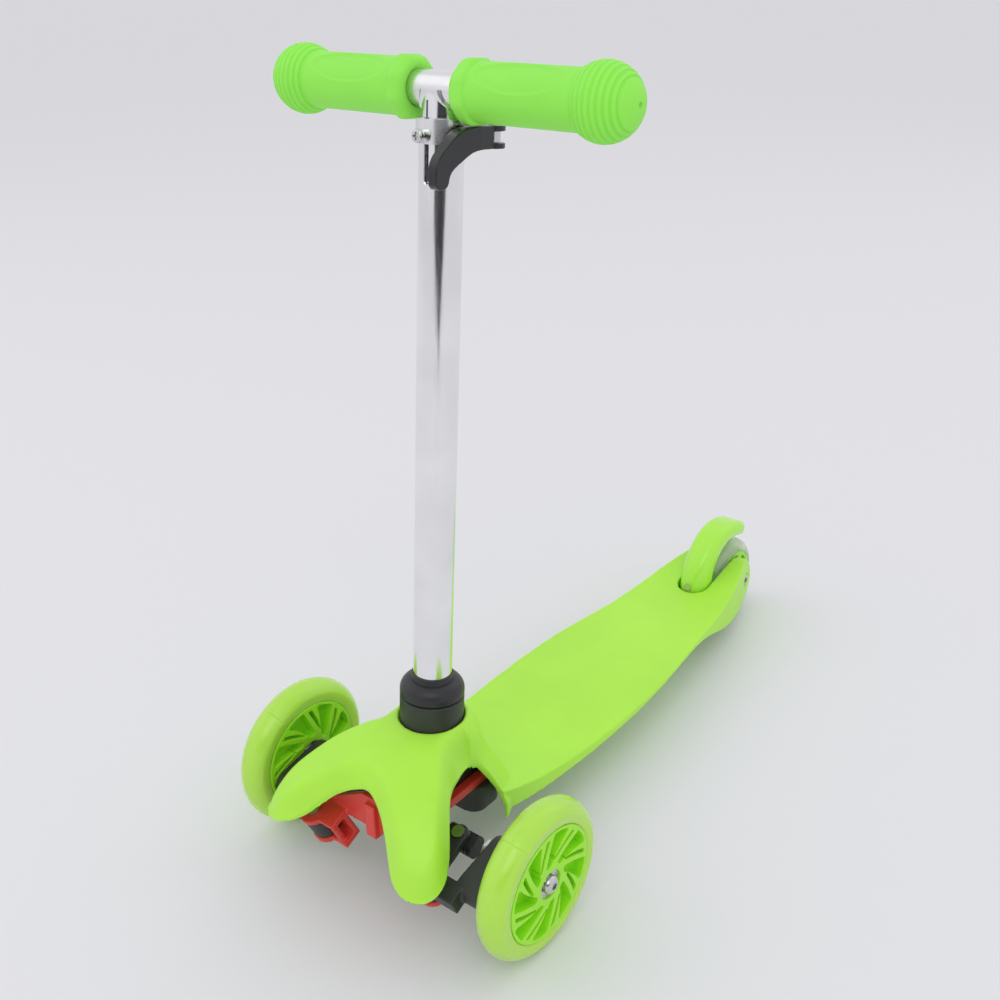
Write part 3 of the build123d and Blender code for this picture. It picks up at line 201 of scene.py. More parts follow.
def stem_point(height: float) -> np.ndarray:
    """Point on the stem axis at a height along it."""
    return np.array([0.0, STEM_FOOT_Y, 0.0]) + height * stem_axes()[2]


# Softened copies of moulded CAD pieces


@dataclass(frozen=True)
class Softener:
    """Turns a sharp CAD solid into a moulded one with round edges.

    A merged copy is rebuilt on a fine voxel grid, and its points are then relaxed: each round moves a point
    towards the mean of its neighbours by one share of the way, and then back by another.  A step back that is
    slightly larger keeps the volume, and a smaller one melts the shape.
    """

    voxel: float
    rounds: int
    most_triangles: int = 60_000
    step_in: float = 0.5
    step_back: float = 0.52

    def mesh_of(self, node: bpy.types.Object, name: str) -> bpy.types.Object:
        """Fine closed copy of a CAD node.

        Args:
            node: the CAD node.
            name: name of the copy.

        Returns:
            The linked copy.
        """
        mesh = node.data.copy()
        work = bmesh.new()
        work.from_mesh(mesh)
        bmesh.ops.remove_doubles(work, verts=work.verts, dist=MERGE_DISTANCE)
        work.to_mesh(mesh)
        work.free()
        mesh.materials.clear()
        obj = bpy.data.objects.new(name, mesh)
        bpy.context.scene.collection.objects.link(obj)
        remesh = obj.modifiers.new("fine_grid", "REMESH")
        remesh.mode = "VOXEL"
        remesh.voxel_size = self.voxel
        bake_modifiers(obj)
        return obj

    def relax(self, obj: bpy.types.Object, weight: np.ndarray | None = None) -> None:
        """Round the edges of a fine mesh by relaxing its points.

        Args:
            obj: object whose mesh is relaxed.
            weight: how far each point takes part, from 0 to 1; all of them fully if left out.
        """
        points = mesh_points(obj.data)
        part = 1.0 if weight is None else weight[:, None]
        edges = np.empty(2 * len(obj.data.edges), np.int64)
        obj.data.edges.foreach_get("vertices", edges)
        edges = edges.reshape(-1, 2)
        start, end = np.concatenate([edges, edges[:, ::-1]]).T
        degree = np.bincount(start, minlength=len(points))[:, None]
        for share in (self.step_in, -self.step_back) * self.rounds:
            sums = [np.bincount(start, column[end], minlength=len(points)) for column in points.T]
            points = points + part * share * (np.stack(sums, axis=1) / np.maximum(degree, 1) - points)
        put_points(obj.data, points)

    def thin(self, obj: bpy.types.Object) -> None:
        """Drop faces that a flat stretch doesn't need.

        Args:
            obj: object whose mesh is thinned.
        """
        obj.data.calc_loop_triangles()
        share = self.most_triangles / len(obj.data.loop_triangles)
        if share < 1.0:
            fewer = obj.modifiers.new("fewer_faces", "DECIMATE")
            fewer.ratio = share
            bake_modifiers(obj)
        obj.data.polygons.foreach_set("use_smooth", np.full(len(obj.data.polygons), True))

    def piece(self, node: bpy.types.Object, name: str) -> bpy.types.Object:
        """Softened copy of a CAD node, ready to ride.

        Args:
            node: the CAD node.
            name: name of the copy.

        Returns:
            The softened copy.
        """
        obj = self.mesh_of(node, name)
        self.relax(obj)
        self.thin(obj)
        return obj


def bake_modifiers(obj: bpy.types.Object) -> None:
    """Replace an object's mesh by the one its modifiers make.

    Args:
        obj: object whose modifiers are applied.
    """
    graph = bpy.context.evaluated_depsgraph_get()
    mesh = bpy.data.meshes.new_from_object(obj.evaluated_get(graph))
    obj.modifiers.clear()
    obj.data = mesh


def mesh_points(mesh: bpy.types.Mesh) -> np.ndarray:
    """Vertices of a mesh.

    Args:
        mesh: the mesh.

    Returns:
        Array of shape (n, 3).
    """
    flat = np.empty(3 * len(mesh.vertices), np.float32)
    mesh.vertices.foreach_get("co", flat)
    return flat.reshape(-1, 3).astype(float)


def put_points(mesh: bpy.types.Mesh, points: np.ndarray) -> None:
    """Write an array of shape (n, 3) into a mesh's vertices."""
    mesh.vertices.foreach_set("co", points.astype(np.float32).ravel())
    mesh.update()


# Shader groups and finishes


class ShaderGroups:
    """Shader effects that several finishes share."""

    def __init__(self) -> None:
        """Build each group once."""
        self.moulded = self._moulded()
        self.drawn = self._drawn()

    @staticmethod
    def _start(
        name: str, inputs: Sequence[tuple[str, str, object]], outputs: Sequence[tuple[str, str]]
    ) -> tuple[bpy.types.NodeTree, bpy.types.Node, bpy.types.Node]:
        """Empty group with named sockets.

        Args:
            name: group name.
            inputs: name, socket type and default of each input.
            outputs: name and socket type of each output.

        Returns:
            The node tree, its input node and its output node.
        """
        tree = bpy.data.node_groups.new(name, "ShaderNodeTree")
        for label, kind, default in inputs:
            socket = tree.interface.new_socket(label, in_out="INPUT", socket_type=kind)
            socket.default_value = default
        for label, kind in outputs:
            tree.interface.new_socket(label, in_out="OUTPUT", socket_type=kind)
        return tree, tree.nodes.new("NodeGroupInput"), tree.nodes.new("NodeGroupOutput")

    @staticmethod
    def _noise(
        tree: bpy.types.NodeTree, vector: bpy.types.NodeSocket, scale: float, detail: float
    ) -> bpy.types.Node:
        """Noise texture read at a vector.

        Args:
            tree: the group.
            vector: socket that gives the place.
            scale: size of the pattern.
            detail: number of finer layers.

        Returns:
            The noise node.
        """
        noise = tree.nodes.new("ShaderNodeTexNoise")
        noise.inputs["Scale"].default_value = scale
        noise.inputs["Detail"].default_value = detail
        tree.links.new(vector, noise.inputs["Vector"])
        return noise

    @staticmethod
    def _spread(
        tree: bpy.types.NodeTree, value: bpy.types.NodeSocket, low: float, high: float
    ) -> bpy.types.Node:
        """Range that a value from 0 to 1 is spread over.

        Args:
            tree: the group.
            value: socket that gives the value.
            low: result at 0.
            high: result at 1.

        Returns:
            The range node.
        """
        spread = tree.nodes.new("ShaderNodeMapRange")
        spread.inputs["To Min"].default_value = low
        spread.inputs["To Max"].default_value = high
        tree.links.new(value, spread.inputs["Value"])
        return spread

    @staticmethod
    def _sum(
        tree: bpy.types.NodeTree,
        first: bpy.types.NodeSocket | float,
        second: bpy.types.NodeSocket,
        operation: str = "ADD",
    ) -> bpy.types.NodeSocket:
        """Sum or difference of two values.

        Args:
            tree: the group.
            first: socket or plain number.
            second: socket.
            operation: ADD or SUBTRACT.

        Returns:
            The socket that gives the result.
        """
        node = tree.nodes.new("ShaderNodeMath")
        node.operation = operation
        if isinstance(first, float):
            node.inputs[0].default_value = first
        else:
            tree.links.new(first, node.inputs[0])
        tree.links.new(second, node.inputs[1])
        return node.outputs[0]

    @staticmethod
    def _tone(
        tree: bpy.types.NodeTree, colour: bpy.types.NodeSocket, factor: bpy.types.NodeSocket
    ) -> bpy.types.NodeSocket:
        """Colour times a factor.

        Args:
            tree: the group.
            colour: socket that gives the colour.
            factor: socket that gives the factor.

        Returns:
            The socket that gives the result.
        """
        tone = tree.nodes.new("ShaderNodeVectorMath")
        tone.operation = "SCALE"
        tree.links.new(colour, tone.inputs[0])
        tree.links.new(factor, tone.inputs["Scale"])
        return tone.outputs["Vector"]

    def _moulded(self) -> bpy.types.NodeTree:
        """Moulded plastic: slow colour drift, faint flow marks and fine grain."""
        tree, given, result = self._start(
            "moulded_surface",
            [
                ("Colour", "NodeSocketColor", (0.5, 0.5, 0.5, 1.0)),
                ("Drift", "NodeSocketFloat", 0.06),
                ("Gloss", "NodeSocketFloat", 0.4),
                ("Grain Scale", "NodeSocketFloat", 900.0),
            ],
            [("Colour", "NodeSocketColor"), ("Roughness", "NodeSocketFloat"), ("Height", "NodeSocketFloat")],
        )
        links = tree.links
        place = tree.nodes.new("ShaderNodeTexCoord").outputs["Object"]
        drift = self._noise(tree, place, 14.0, 4.0)
        spread = self._spread(tree, drift.outputs["Fac"], 0.0, 1.0)
        spread.inputs["From Min"].default_value = 0.25
        spread.inputs["From Max"].default_value = 0.75
        links.new(self._sum(tree, 1.0, given.outputs["Drift"], "SUBTRACT"), spread.inputs["To Min"])
        links.new(self._sum(tree, 1.0, given.outputs["Drift"]), spread.inputs["To Max"])
        tone = self._tone(tree, given.outputs["Colour"], spread.outputs["Result"])
        links.new(tone, result.inputs["Colour"])
        grain = self._noise(tree, place, 1.0, 3.0)
        links.new(given.outputs["Grain Scale"], grain.inputs["Scale"])
        links.new(grain.outputs["Fac"], result.inputs["Height"])
        smear = self._noise(tree, place, 42.0, 5.0)
        rough = self._spread(tree, smear.outputs["Fac"], -0.07, 0.07)
        gloss = self._sum(tree, rough.outputs["Result"], given.outputs["Gloss"])
        links.new(gloss, result.inputs["Roughness"])
        return tree

    def _drawn(self) -> bpy.types.NodeTree:
        """Drawn or turned metal: fine streaks stretched along one direction, and cloudy wear."""
        tree, given, result = self._start(
            "drawn_metal",
            [
                ("Colour", "NodeSocketColor", (0.8, 0.8, 0.8, 1.0)),
                ("Gloss", "NodeSocketFloat", 0.25),
                ("Stretch", "NodeSocketVector", (900.0, 900.0, 8.0)),
            ],
            [("Colour", "NodeSocketColor"), ("Roughness", "NodeSocketFloat"), ("Height", "NodeSocketFloat")],
        )
        links = tree.links
        place = tree.nodes.new("ShaderNodeTexCoord").outputs["Object"]
        scale = tree.nodes.new("ShaderNodeVectorMath")
        scale.operation = "MULTIPLY"
        links.new(place, scale.inputs[0])
        links.new(given.outputs["Stretch"], scale.inputs[1])
        streak = self._noise(tree, scale.outputs["Vector"], 1.0, 4.0)
        cloud = self._noise(tree, place, 26.0, 5.0)
        shade = self._spread(tree, cloud.outputs["Fac"], 0.86, 1.08)
        tone = self._tone(tree, given.outputs["Colour"], shade.outputs["Result"])
        links.new(tone, result.inputs["Colour"])
        rough = self._spread(tree, streak.outputs["Fac"], -0.08, 0.10)
        gloss = self._sum(tree, rough.outputs["Result"], given.outputs["Gloss"])
        links.new(gloss, result.inputs["Roughness"])
        links.new(streak.outputs["Fac"], result.inputs["Height"])
        return tree


@dataclass(frozen=True)
class PlasticFinish:
    """Moulded plastic or rubber with a fine grain."""

    name: str
    colour: Colour
    gloss: float = 0.4
    drift: float = 0.06
    grain_scale: float = 900.0
    grain_depth: float = 0.05
    grain_height: float = 0.6 * MM
    coat: float = 0.0
    coat_roughness: float = 0.08
    glow_through: float = 0.0
    glow_reach: tuple[float, float, float] = (4.0 * MM, 6.0 * MM, 1.0 * MM)
    clearness: float = 0.0
    refraction: float = 1.46

    def material(self, groups: ShaderGroups) -> bpy.types.Material:
        """Material of this finish.

        Args:
            groups: shared shader groups.

        Returns:
            The material.
        """
        made = bpy.data.materials.new(self.name)
        made.use_nodes = True
        nodes, links = made.node_tree.nodes, made.node_tree.links
        shader = nodes["Principled BSDF"]
        surface = nodes.new("ShaderNodeGroup")
        surface.node_tree = groups.moulded
        surface.inputs["Colour"].default_value = (*self.colour, 1.0)
        surface.inputs["Drift"].default_value = self.drift
        surface.inputs["Gloss"].default_value = self.gloss
        surface.inputs["Grain Scale"].default_value = self.grain_scale
        links.new(surface.outputs["Colour"], shader.inputs["Base Color"])
        links.new(surface.outputs["Roughness"], shader.inputs["Roughness"])
        bump = nodes.new("ShaderNodeBump")
        bump.inputs["Strength"].default_value = self.grain_depth
        bump.inputs["Distance"].default_value = self.grain_height
        links.new(surface.outputs["Height"], bump.inputs["Height"])
        links.new(bump.outputs["Normal"], shader.inputs["Normal"])
        shader.inputs["Coat Weight"].default_value = self.coat
        shader.inputs["Coat Roughness"].default_value = self.coat_roughness
        shader.inputs["Subsurface Weight"].default_value = self.glow_through
        shader.inputs["Subsurface Radius"].default_value = self.glow_reach
        shader.inputs["Subsurface Scale"].default_value = 1.0
        shader.inputs["Transmission Weight"].default_value = self.clearness
        shader.inputs["IOR"].default_value = self.refraction
        made.diffuse_color = (*self.colour, 1.0)
        return made


@dataclass(frozen=True)
class MetalFinish:
    """Bare metal with streaks along the way it was drawn or turned."""

    name: str
    colour: Colour
    gloss: float = 0.25
    stretch: tuple[float, float, float] = (900.0, 900.0, 8.0)
    streak_depth: float = 0.03
    streak_height: float = 0.3 * MM

    def material(self, groups: ShaderGroups) -> bpy.types.Material:
        """Material of this finish.

        Args:
            groups: shared shader groups.

        Returns:
            The material.
        """
        made = bpy.data.materials.new(self.name)
        made.use_nodes = True
        nodes, links = made.node_tree.nodes, made.node_tree.links
        shader = nodes["Principled BSDF"]
        surface = nodes.new("ShaderNodeGroup")
        surface.node_tree = groups.drawn
        surface.inputs["Colour"].default_value = (*self.colour, 1.0)
        surface.inputs["Gloss"].default_value = self.gloss
        surface.inputs["Stretch"].default_value = self.stretch
        links.new(surface.outputs["Colour"], shader.inputs["Base Color"])
        links.new(surface.outputs["Roughness"], shader.inputs["Roughness"])
        bump = nodes.new("ShaderNodeBump")
        bump.inputs["Strength"].default_value = self.streak_depth
        bump.inputs["Distance"].default_value = self.streak_height
        links.new(surface.outputs["Height"], bump.inputs["Height"])
        links.new(bump.outputs["Normal"], shader.inputs["Normal"])
        shader.inputs["Metallic"].default_value = 1.0
        made.diffuse_color = (*self.colour, 1.0)
        return made


DECK_GREEN = PlasticFinish(
    "deck_green_plastic", (0.44, 0.87, 0.06), gloss=0.40, drift=0.05, grain_scale=1100.0,
    grain_depth=0.06, glow_through=0.06,
)
GRIP_GREEN = PlasticFinish(
    "grip_green_rubber", (0.30, 0.88, 0.085), gloss=0.52, drift=0.04, grain_scale=1500.0,
    grain_depth=0.08, glow_through=0.05,
)
CORE_GREEN = PlasticFinish(
    "wheel_core_green", (0.36, 0.86, 0.02), gloss=0.32, drift=0.05, grain_scale=1000.0,
    grain_depth=0.05, glow_through=0.10,
)
FENDER_GREEN = PlasticFinish(
    "fender_green_gloss", (0.42, 0.87, 0.06), gloss=0.20, drift=0.04, grain_scale=900.0,
    grain_depth=0.02, coat=0.4, glow_through=0.08,
)
TYRE_CLEAR = PlasticFinish(
    "clear_green_tyre", (0.57, 0.98, 0.10), gloss=0.20, drift=0.03, grain_scale=700.0,
    grain_depth=0.02, coat=0.3, glow_through=0.35, clearness=0.22,
)
REAR_TYRE_CLEAR = PlasticFinish(
    "pale_clear_tyre", (0.80, 0.95, 0.66), gloss=0.22, drift=0.03, grain_scale=700.0,
    grain_depth=0.02, coat=0.3, glow_through=0.25, clearness=0.55,
)
SATIN_BLACK = PlasticFinish(
    "satin_black_plastic", (0.022, 0.022, 0.024), gloss=0.38, drift=0.14, grain_scale=1000.0,
    grain_depth=0.06,
)
DARK_GREY = PlasticFinish(
    "dark_grey_plastic", (0.034, 0.037, 0.033), gloss=0.45, drift=0.15, grain_scale=900.0,
    grain_depth=0.07,
)
LEVER_BLACK = PlasticFinish(
    "lever_black_plastic", (0.014, 0.014, 0.015), gloss=0.30, drift=0.12, grain_scale=900.0,
    grain_depth=0.03, coat=0.2,
)
BRIDGE_RED = PlasticFinish(
    "bridge_red_plastic", (0.70, 0.050, 0.034), gloss=0.36, drift=0.06, grain_scale=900.0,
    grain_depth=0.05,
)
LIGHT_WHITE = PlasticFinish(
    "light_unit_white", (0.86, 0.86, 0.80), gloss=0.18, drift=0.02, grain_scale=600.0,
    grain_depth=0.01, coat=0.4,
)
BUSH_RUBBER = PlasticFinish(
    "bush_rubber", (0.020, 0.020, 0.020), gloss=0.65, drift=0.2, grain_scale=1200.0,
    grain_depth=0.10,
)
STEM_ALUMINIUM = MetalFinish(
    "stem_aluminium", (0.88, 0.88, 0.89), gloss=0.15, stretch=(620.0, 620.0, 5.0),
    streak_depth=0.03,
)
CLAMP_ALUMINIUM = MetalFinish(
    "clamp_aluminium", (0.84, 0.84, 0.85), gloss=0.26, stretch=(260.0, 260.0, 90.0),
    streak_depth=0.05,
)
SCREW_STEEL = MetalFinish(
    "screw_steel", (0.66, 0.66, 0.66), gloss=0.24, stretch=(500.0, 120.0, 120.0), streak_depth=0.05,
)

NODE_FINISHES: dict[str, Sequence[str]] = {
    "black": ("socket_cap", "inner_tube_bush", "clamp_cam_seat", "tie_rod"),
    "dark": ("stem_socket", "knuckle_left", "knuckle_right"),
    "lever": ("clamp_lever",),
    "red": ("steering_bridge",),
    "core": ("front_core_left", "front_core_right", "rear_core"),
    "tyre": ("front_tyre_left", "front_tyre_right"),
    "rear_tyre": ("rear_tyre",),
    "fender": ("brake_fender",),
    "deck": ("deck",),
    "grip": ("grip_left", "grip_right"),
    "light": ("wheel_lights_left", "wheel_lights_right"),
    "bush": ("kingpin_bush_left", "kingpin_bush_right"),
    "tube": ("stem_tube", "inner_tube"),
    "clamp": ("clamp_collar", "crossbar", "handlebar_weld"),
}


class Paintbox:
    """All materials of the scooter, made once."""

    def __init__(self) -> None:
        """Make the shader groups and one material for each finish."""
        groups = ShaderGroups()
        finishes = {
            "deck": DECK_GREEN,
            "grip": GRIP_GREEN,
            "core": CORE_GREEN,
            "fender": FENDER_GREEN,
            "tyre": TYRE_CLEAR,
            "rear_tyre": REAR_TYRE_CLEAR,
            "black": SATIN_BLACK,
            "dark": DARK_GREY,
            "lever": LEVER_BLACK,
            "red": BRIDGE_RED,
            "light": LIGHT_WHITE,
            "bush": BUSH_RUBBER,
            "tube": STEM_ALUMINIUM,
            "clamp": CLAMP_ALUMINIUM,
            "steel": SCREW_STEEL,
        }
        self.materials = {key: finish.material(groups) for key, finish in finishes.items()}

    def paint(self, obj: bpy.types.Object, key: str) -> None:
        """Give an object one of the finishes.

        Args:
            obj: object to paint.
            key: name of the finish.
        """
        obj.data.materials.clear()
        obj.data.materials.append(self.materials[key])

    def paint_nodes(self, nodes: dict[str, bpy.types.Object]) -> None:
        """Give every CAD node its finish; what has no other is steel.

        Args:
            nodes: CAD nodes by name.
        """
        chosen = {name: key for key, names in NODE_FINISHES.items() for name in names}
        for name, node in nodes.items():
            self.paint(node, chosen.get(name, "steel"))


# Pieces


@dataclass
class DeckShell:
    """Deck, hump, legs and fork as one soft moulding.

    The CAD solid has upright walls under its roof.  The real rim rolls over, so each point above the rim line
    is lowered by its height times (1 - d / w) ** p, where d is its distance from the rim in plan.  Beside the
    stem the front roof comes down to the rear flank with a smooth step, so the hump has no edge there.  Under
    the leg tips the lip is raised.  Radii are measured from the stem's axis at the top of the hump, lengths
    are in millimetres, and y is measured from the front axle.
    """

    voxel: float = 1.0 * MM
    rounds: int = 12
    most_triangles: int = 190_000
    hump_height: float = 130.6
    cover_end: float = 52.0
    cover_foot: float = 55.0
    roll_width: float = 11.0
    roll_power: float = 2.2
    roll_end: float = 40.0
    roll_fade: float = 14.0
    rim_left: float = 2.0
    rim_steps: int = 180
    saddle: tuple[float, float] = (-0.75, -0.05)
    saddle_share: float = 0.92
    saddle_end: float = 30.0
    arch_crown: tuple[float, float, float] = (38.5, 27.0, 98.0)
    arch_blend: float = 12.0
    arch_reach: float = 1.6
    arch_rounds: int = 45
    arch_step_back: float = 0.2
    tip_radii: Sequence[float] = (100.0, 112.0, 126.0, 156.0)
    tip_heights: Sequence[float] = (0.0, 73.0, 68.0, 60.0)
    rim: Sequence[tuple[float, float]] = field(
        default_factory=lambda: [
            (0.0, -43.0),
            (13.0, -47.2),
            (40.0, -65.8),
            (55.0, -76.2),
            (67.0, -78.0),
            (78.0, -73.0),
            (82.0, -63.0),
            (77.5, -46.0),
            (61.8, -25.0),
            (44.5, 1.2),
            (38.2, 16.2),
            (37.0, 28.0),
            (42.2, 41.8),
            (50.0, 47.5),
        ]
    )
    roof_radii: Sequence[float] = (27.9, 50.0, 74.0, 90.0, 105.0, 118.0, 126.0, 156.0)
    roof_heights: Sequence[float] = (130.6, 126.0, 117.5, 108.5, 97.5, 85.0, 76.0, 43.6)
    flank_radii: Sequence[float] = (26.9, 32.0, 40.0, 47.0, 53.5, 59.0)
    flank_heights: Sequence[float] = (130.6, 124.0, 97.0, 82.5, 70.0, 58.0)
    lip_radii: Sequence[float] = (44.0, 58.0, 71.0, 84.0, 104.0, 118.0, 156.0)
    lip_heights: Sequence[float] = (98.7, 103.0, 104.7, 95.5, 77.0, 69.5, 37.6)

    def build(self, node: bpy.types.Object, paint: Paintbox) -> bpy.types.Object:
        """Soft deck that stands for the CAD deck.

        Args:
            node: the CAD deck.
            paint: the finishes.

        Returns:
            The deck piece.
        """
        soft = Softener(self.voxel, self.rounds, self.most_triangles)
        obj = soft.mesh_of(node, "deck_moulding")
        put_points(obj.data, self._rolled(mesh_points(obj.data)))
        soft.relax(obj)
        self._blend_arches(obj)
        soft.thin(obj)
        paint.paint(obj, "deck")
        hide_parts("deck")
        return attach(obj, "chassis")

    def _blend_arches(self, obj: bpy.types.Object) -> None:
        """Blend the crowns of the two side arches, where the hump's front and rear meet.

        A point takes part by its reach less its distance from the crown over the blend, kept from 0 to 1.

        Args:
            obj: the deck piece.
        """
        points = mesh_points(obj.data) / MM
        points[:, 0] = np.abs(points[:, 0])
        crown = np.array([self.arch_crown[0], self.arch_crown[1] + FRONT_AXLE_Y / MM, self.arch_crown[2]])
        away = np.linalg.norm(points - crown, axis=1)
        weight = np.clip(self.arch_reach - away / self.arch_blend, 0.0, 1.0)
        Softener(self.voxel, self.arch_rounds, step_back=self.arch_step_back).relax(obj, weight)

    def _rolled(self, points: np.ndarray) -> np.ndarray:
        """Sink the saddle beside the stem, lower the roof towards its rim and raise the lip of the leg tips.

        Args:
            points: vertices in metres.

        Returns:
            Vertices with the rim rolled over.
        """
        x = np.abs(points[:, 0]) / MM
        y = (points[:, 1] - FRONT_AXLE_Y) / MM
        z = points[:, 2] / MM
        centre_y = STEM_BEHIND_AXLE + self.hump_height * math.tan(STEM_LEAN)
        radius = np.hypot(x, y - centre_y)
        roof = np.interp(radius, self.roof_radii, self.roof_heights)
        flank = np.interp(radius, self.flank_radii, self.flank_heights)
        lip = np.interp(radius, self.lip_radii, self.lip_heights)
        facing = (y - centre_y) / np.maximum(radius, 1.0)
        step = np.clip((facing - self.saddle[0]) / (self.saddle[1] - self.saddle[0]), 0.0, 1.0)
        step = self.saddle_share * step * step * (3.0 - 2.0 * step) * (y < self.saddle_end)
        ground = np.minimum(np.maximum(flank, lip + self.rim_left), roof)
        sunk = (roof - ground) * step
        z = np.where(z > ground, ground + (z - ground) * (1.0 - step), z)
        rim = resampled(self.rim, self.rim_steps)
        distance = np.full(len(points), np.inf)
        near = (y < self.cover_end) & (z > self.cover_foot)
        picked = np.stack([x[near], y[near]], axis=1)
        distance[near] = np.min(np.linalg.norm(picked[:, None, :] - rim[None, :, :], axis=2), axis=1)
        share = np.clip(1.0 - distance / self.roll_width, 0.0, 1.0) ** self.roll_power
        fade = np.clip((self.roll_end - y) / self.roll_fade, 0.0, 1.0)
        left = self.rim_left / np.maximum(roof - sunk - lip, self.rim_left)
        lowered = np.where(z > lip, lip + (z - lip) * (1.0 - share * fade * (1.0 - left)), z)
        raised = np.maximum(lowered, np.interp(radius, self.tip_radii, self.tip_heights))
        result = points.copy()
        result[:, 2] = np.where(near, raised, z) * MM
        return result


@dataclass
class Grip:
    """Rubber grip: round-cornered octagonal flange, palm ovals, and a ball-shaped end with turned grooves.

    Lengths along the bar are in millimetres from the scooter's middle.
    """

    side: Side
    bar_height: float = 570.8 * MM
    start: float = 18.5
    end: float = 140.8
    bore: float = 11.05
    flange_radius: float = 19.0
    flange_end: float = 29.5
    flange_lobe: float = 1.055
    flange_foot: float = 15.5
    flange_blend: float = 3.5
    barrel_radius: float = 17.6
    barrel_steps: int = 60
    ball_radius: float = 22.4
    cap_angle: float = math.radians(36.0)
    cap_steps: int = 18
    hole_radius: float = 1.6
    hole_depth: float = 1.9
    grooves: int = 9
    groove_depth: float = 1.0
    groove_steps: int = 12
    palm_half_length: float = 33.0
    palm_half_height: float = 10.6
    palm_turn: float = math.radians(40.0)
    palm_depth: float = 1.2
    palm_edge: float = 0.10
    palm_rim_width: float = 0.09
    palm_rim_height: float = 0.25
    around: int = 144

    @property
    def ball_centre(self) -> float:
        """Place of the ball's centre along the bar: the rim of its end hole lies at the grip's end."""
        return self.end - math.sqrt(self.ball_radius**2 - self.hole_radius**2)

    @property
    def ball_angle(self) -> float:
        """Angle from the tip at which the ball meets the barrel."""
        return math.pi - math.asin(self.barrel_radius / self.ball_radius)

    @property
    def barrel_end(self) -> float:
        """Place along the bar where the barrel runs into the ball."""
        return self.ball_centre + self.ball_radius * math.cos(self.ball_angle)

    def _on_ball(self, radius: np.ndarray | float, angle: np.ndarray) -> np.ndarray:
        """Profile points at an angle from the tip: r sin(a) from the bar's axis, c + r cos(a) along it."""
        return np.stack([radius * np.sin(angle), self.ball_centre + radius * np.cos(angle)], axis=1)

    def _profile(self) -> np.ndarray:
        """Radius and height along the grip from the bore at the flange to the middle of the end.

        Returns:
            Array of shape (n, 2) in millimetres.
        """
        bore, start, rim, flange_end = self.bore, self.start, self.flange_radius, self.flange_end
        lip = [(bore, start + 1.5), (bore + 1.6, start + 0.2), (bore + 3.4, start)]
        flange = [(rim - 2.6, start + 0.3), (rim - 0.8, start + 2.6), (rim, start + 6.4)]
        flange += [(rim, flange_end - 1.0), (rim - 0.6, flange_end + 0.4)]
        along = np.linspace(flange_end + 1.2, self.barrel_end - 2.4, self.barrel_steps)
        barrel = np.stack([np.full(self.barrel_steps, self.barrel_radius), along], axis=1)
        share = np.linspace(0.0, 1.0, self.grooves * self.groove_steps + 1)
        angle = self.ball_angle + (self.cap_angle - self.ball_angle) * share
        wave = np.clip(-np.cos(2 * np.pi * self.grooves * share) * 1.1 - 0.1, 0.0, 1.0)
        radius = self.ball_radius - self.groove_depth * wave
        ball = self._on_ball(radius, angle)[3:]
        hole_angle = math.asin(self.hole_radius / self.ball_radius)
        cap = self._on_ball(self.ball_radius, np.linspace(self.cap_angle, hole_angle, self.cap_steps)[1:])
        floor = self.end - self.hole_depth
        hole = [(self.hole_radius - 0.2, floor + 0.3), (0.0, floor)]
        return np.vstack([lip, flange, barrel, ball, cap, hole])

    def _shape(self, points: np.ndarray) -> np.ndarray:
        """Give the turned grip its octagonal flange and its palm ovals.

        The flange's radius is divided by a cosine with eight lobes, whose corners are cut.  In each palm oval
        the radius falls by a step that is smooth across the oval's edge.

        Args:
            points: array of shape (n, turns, 3) in millimetres.

        Returns:
            Shaped points.
        """
        angle = np.arctan2(points[..., 1], points[..., 0])
        height = points[..., 2]
        radius = np.hypot(points[..., 0], points[..., 1])
        wrapped = (angle + np.pi / 8) % (np.pi / 4) - np.pi / 8
        lobes = np.minimum(1.0 / np.cos(wrapped), self.flange_lobe)
        in_flange = np.clip((radius - self.flange_foot) / self.flange_blend, 0.0, 1.0)
        in_flange = in_flange * (height < self.flange_end + 1.0)
        factor = 1.0 + (lobes - 1.0) * in_flange
        middle = (self.flange_end + self.barrel_end) / 2
        lift_by = -self.palm_turn * self.side.value
        palms = np.array([lift_by, lift_by + np.pi])
        across = np.sin(angle[..., None] - palms)
        facing = np.cos(angle[..., None] - palms) > 0.0
        along = (height[..., None] - middle) / self.palm_half_length
        oval = np.hypot(along, across * self.barrel_radius / self.palm_half_height)
        inside = np.clip((1.0 - oval) / self.palm_edge, 0.0, 1.0) * facing
        rim = np.exp(-(((oval - 1.0) / self.palm_rim_width) ** 2)) * facing
        dent = np.max(inside * inside * (3 - 2 * inside), axis=-1)
        lift = np.max(rim, axis=-1)
        in_barrel = (height > self.flange_end) & (height < self.barrel_end)
        sunk = dent * self.palm_depth - lift * self.palm_rim_height
        factor = factor - sunk / self.barrel_radius * in_barrel
        shaped = points.copy()
        shaped[..., :2] *= factor[..., None]
        return shaped

    def build(self, paint: Paintbox) -> bpy.types.Object:
        """Grip that stands for its CAD node.

        Args:
            paint: the finishes.

        Returns:
            The grip piece.
        """
        points = self._shape(turned_surface(self._profile(), even_turn(self.around))) * MM
        sign = float(self.side.value)
        stem = stem_axes()
        axes = np.stack([sign * stem[1], stem[2], sign * stem[0]])
        points = placed(points, stem_point(self.bar_height), axes)
        quads = grid_quads(points.shape[0], points.shape[1], False, True)
        obj = mesh_object(f"grip_{self.side.word}_moulded", points.reshape(-1, 3), quads)
        paint.paint(obj, "grip")
        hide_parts(f"grip_{self.side.word}")
        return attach(obj, "handlebar")


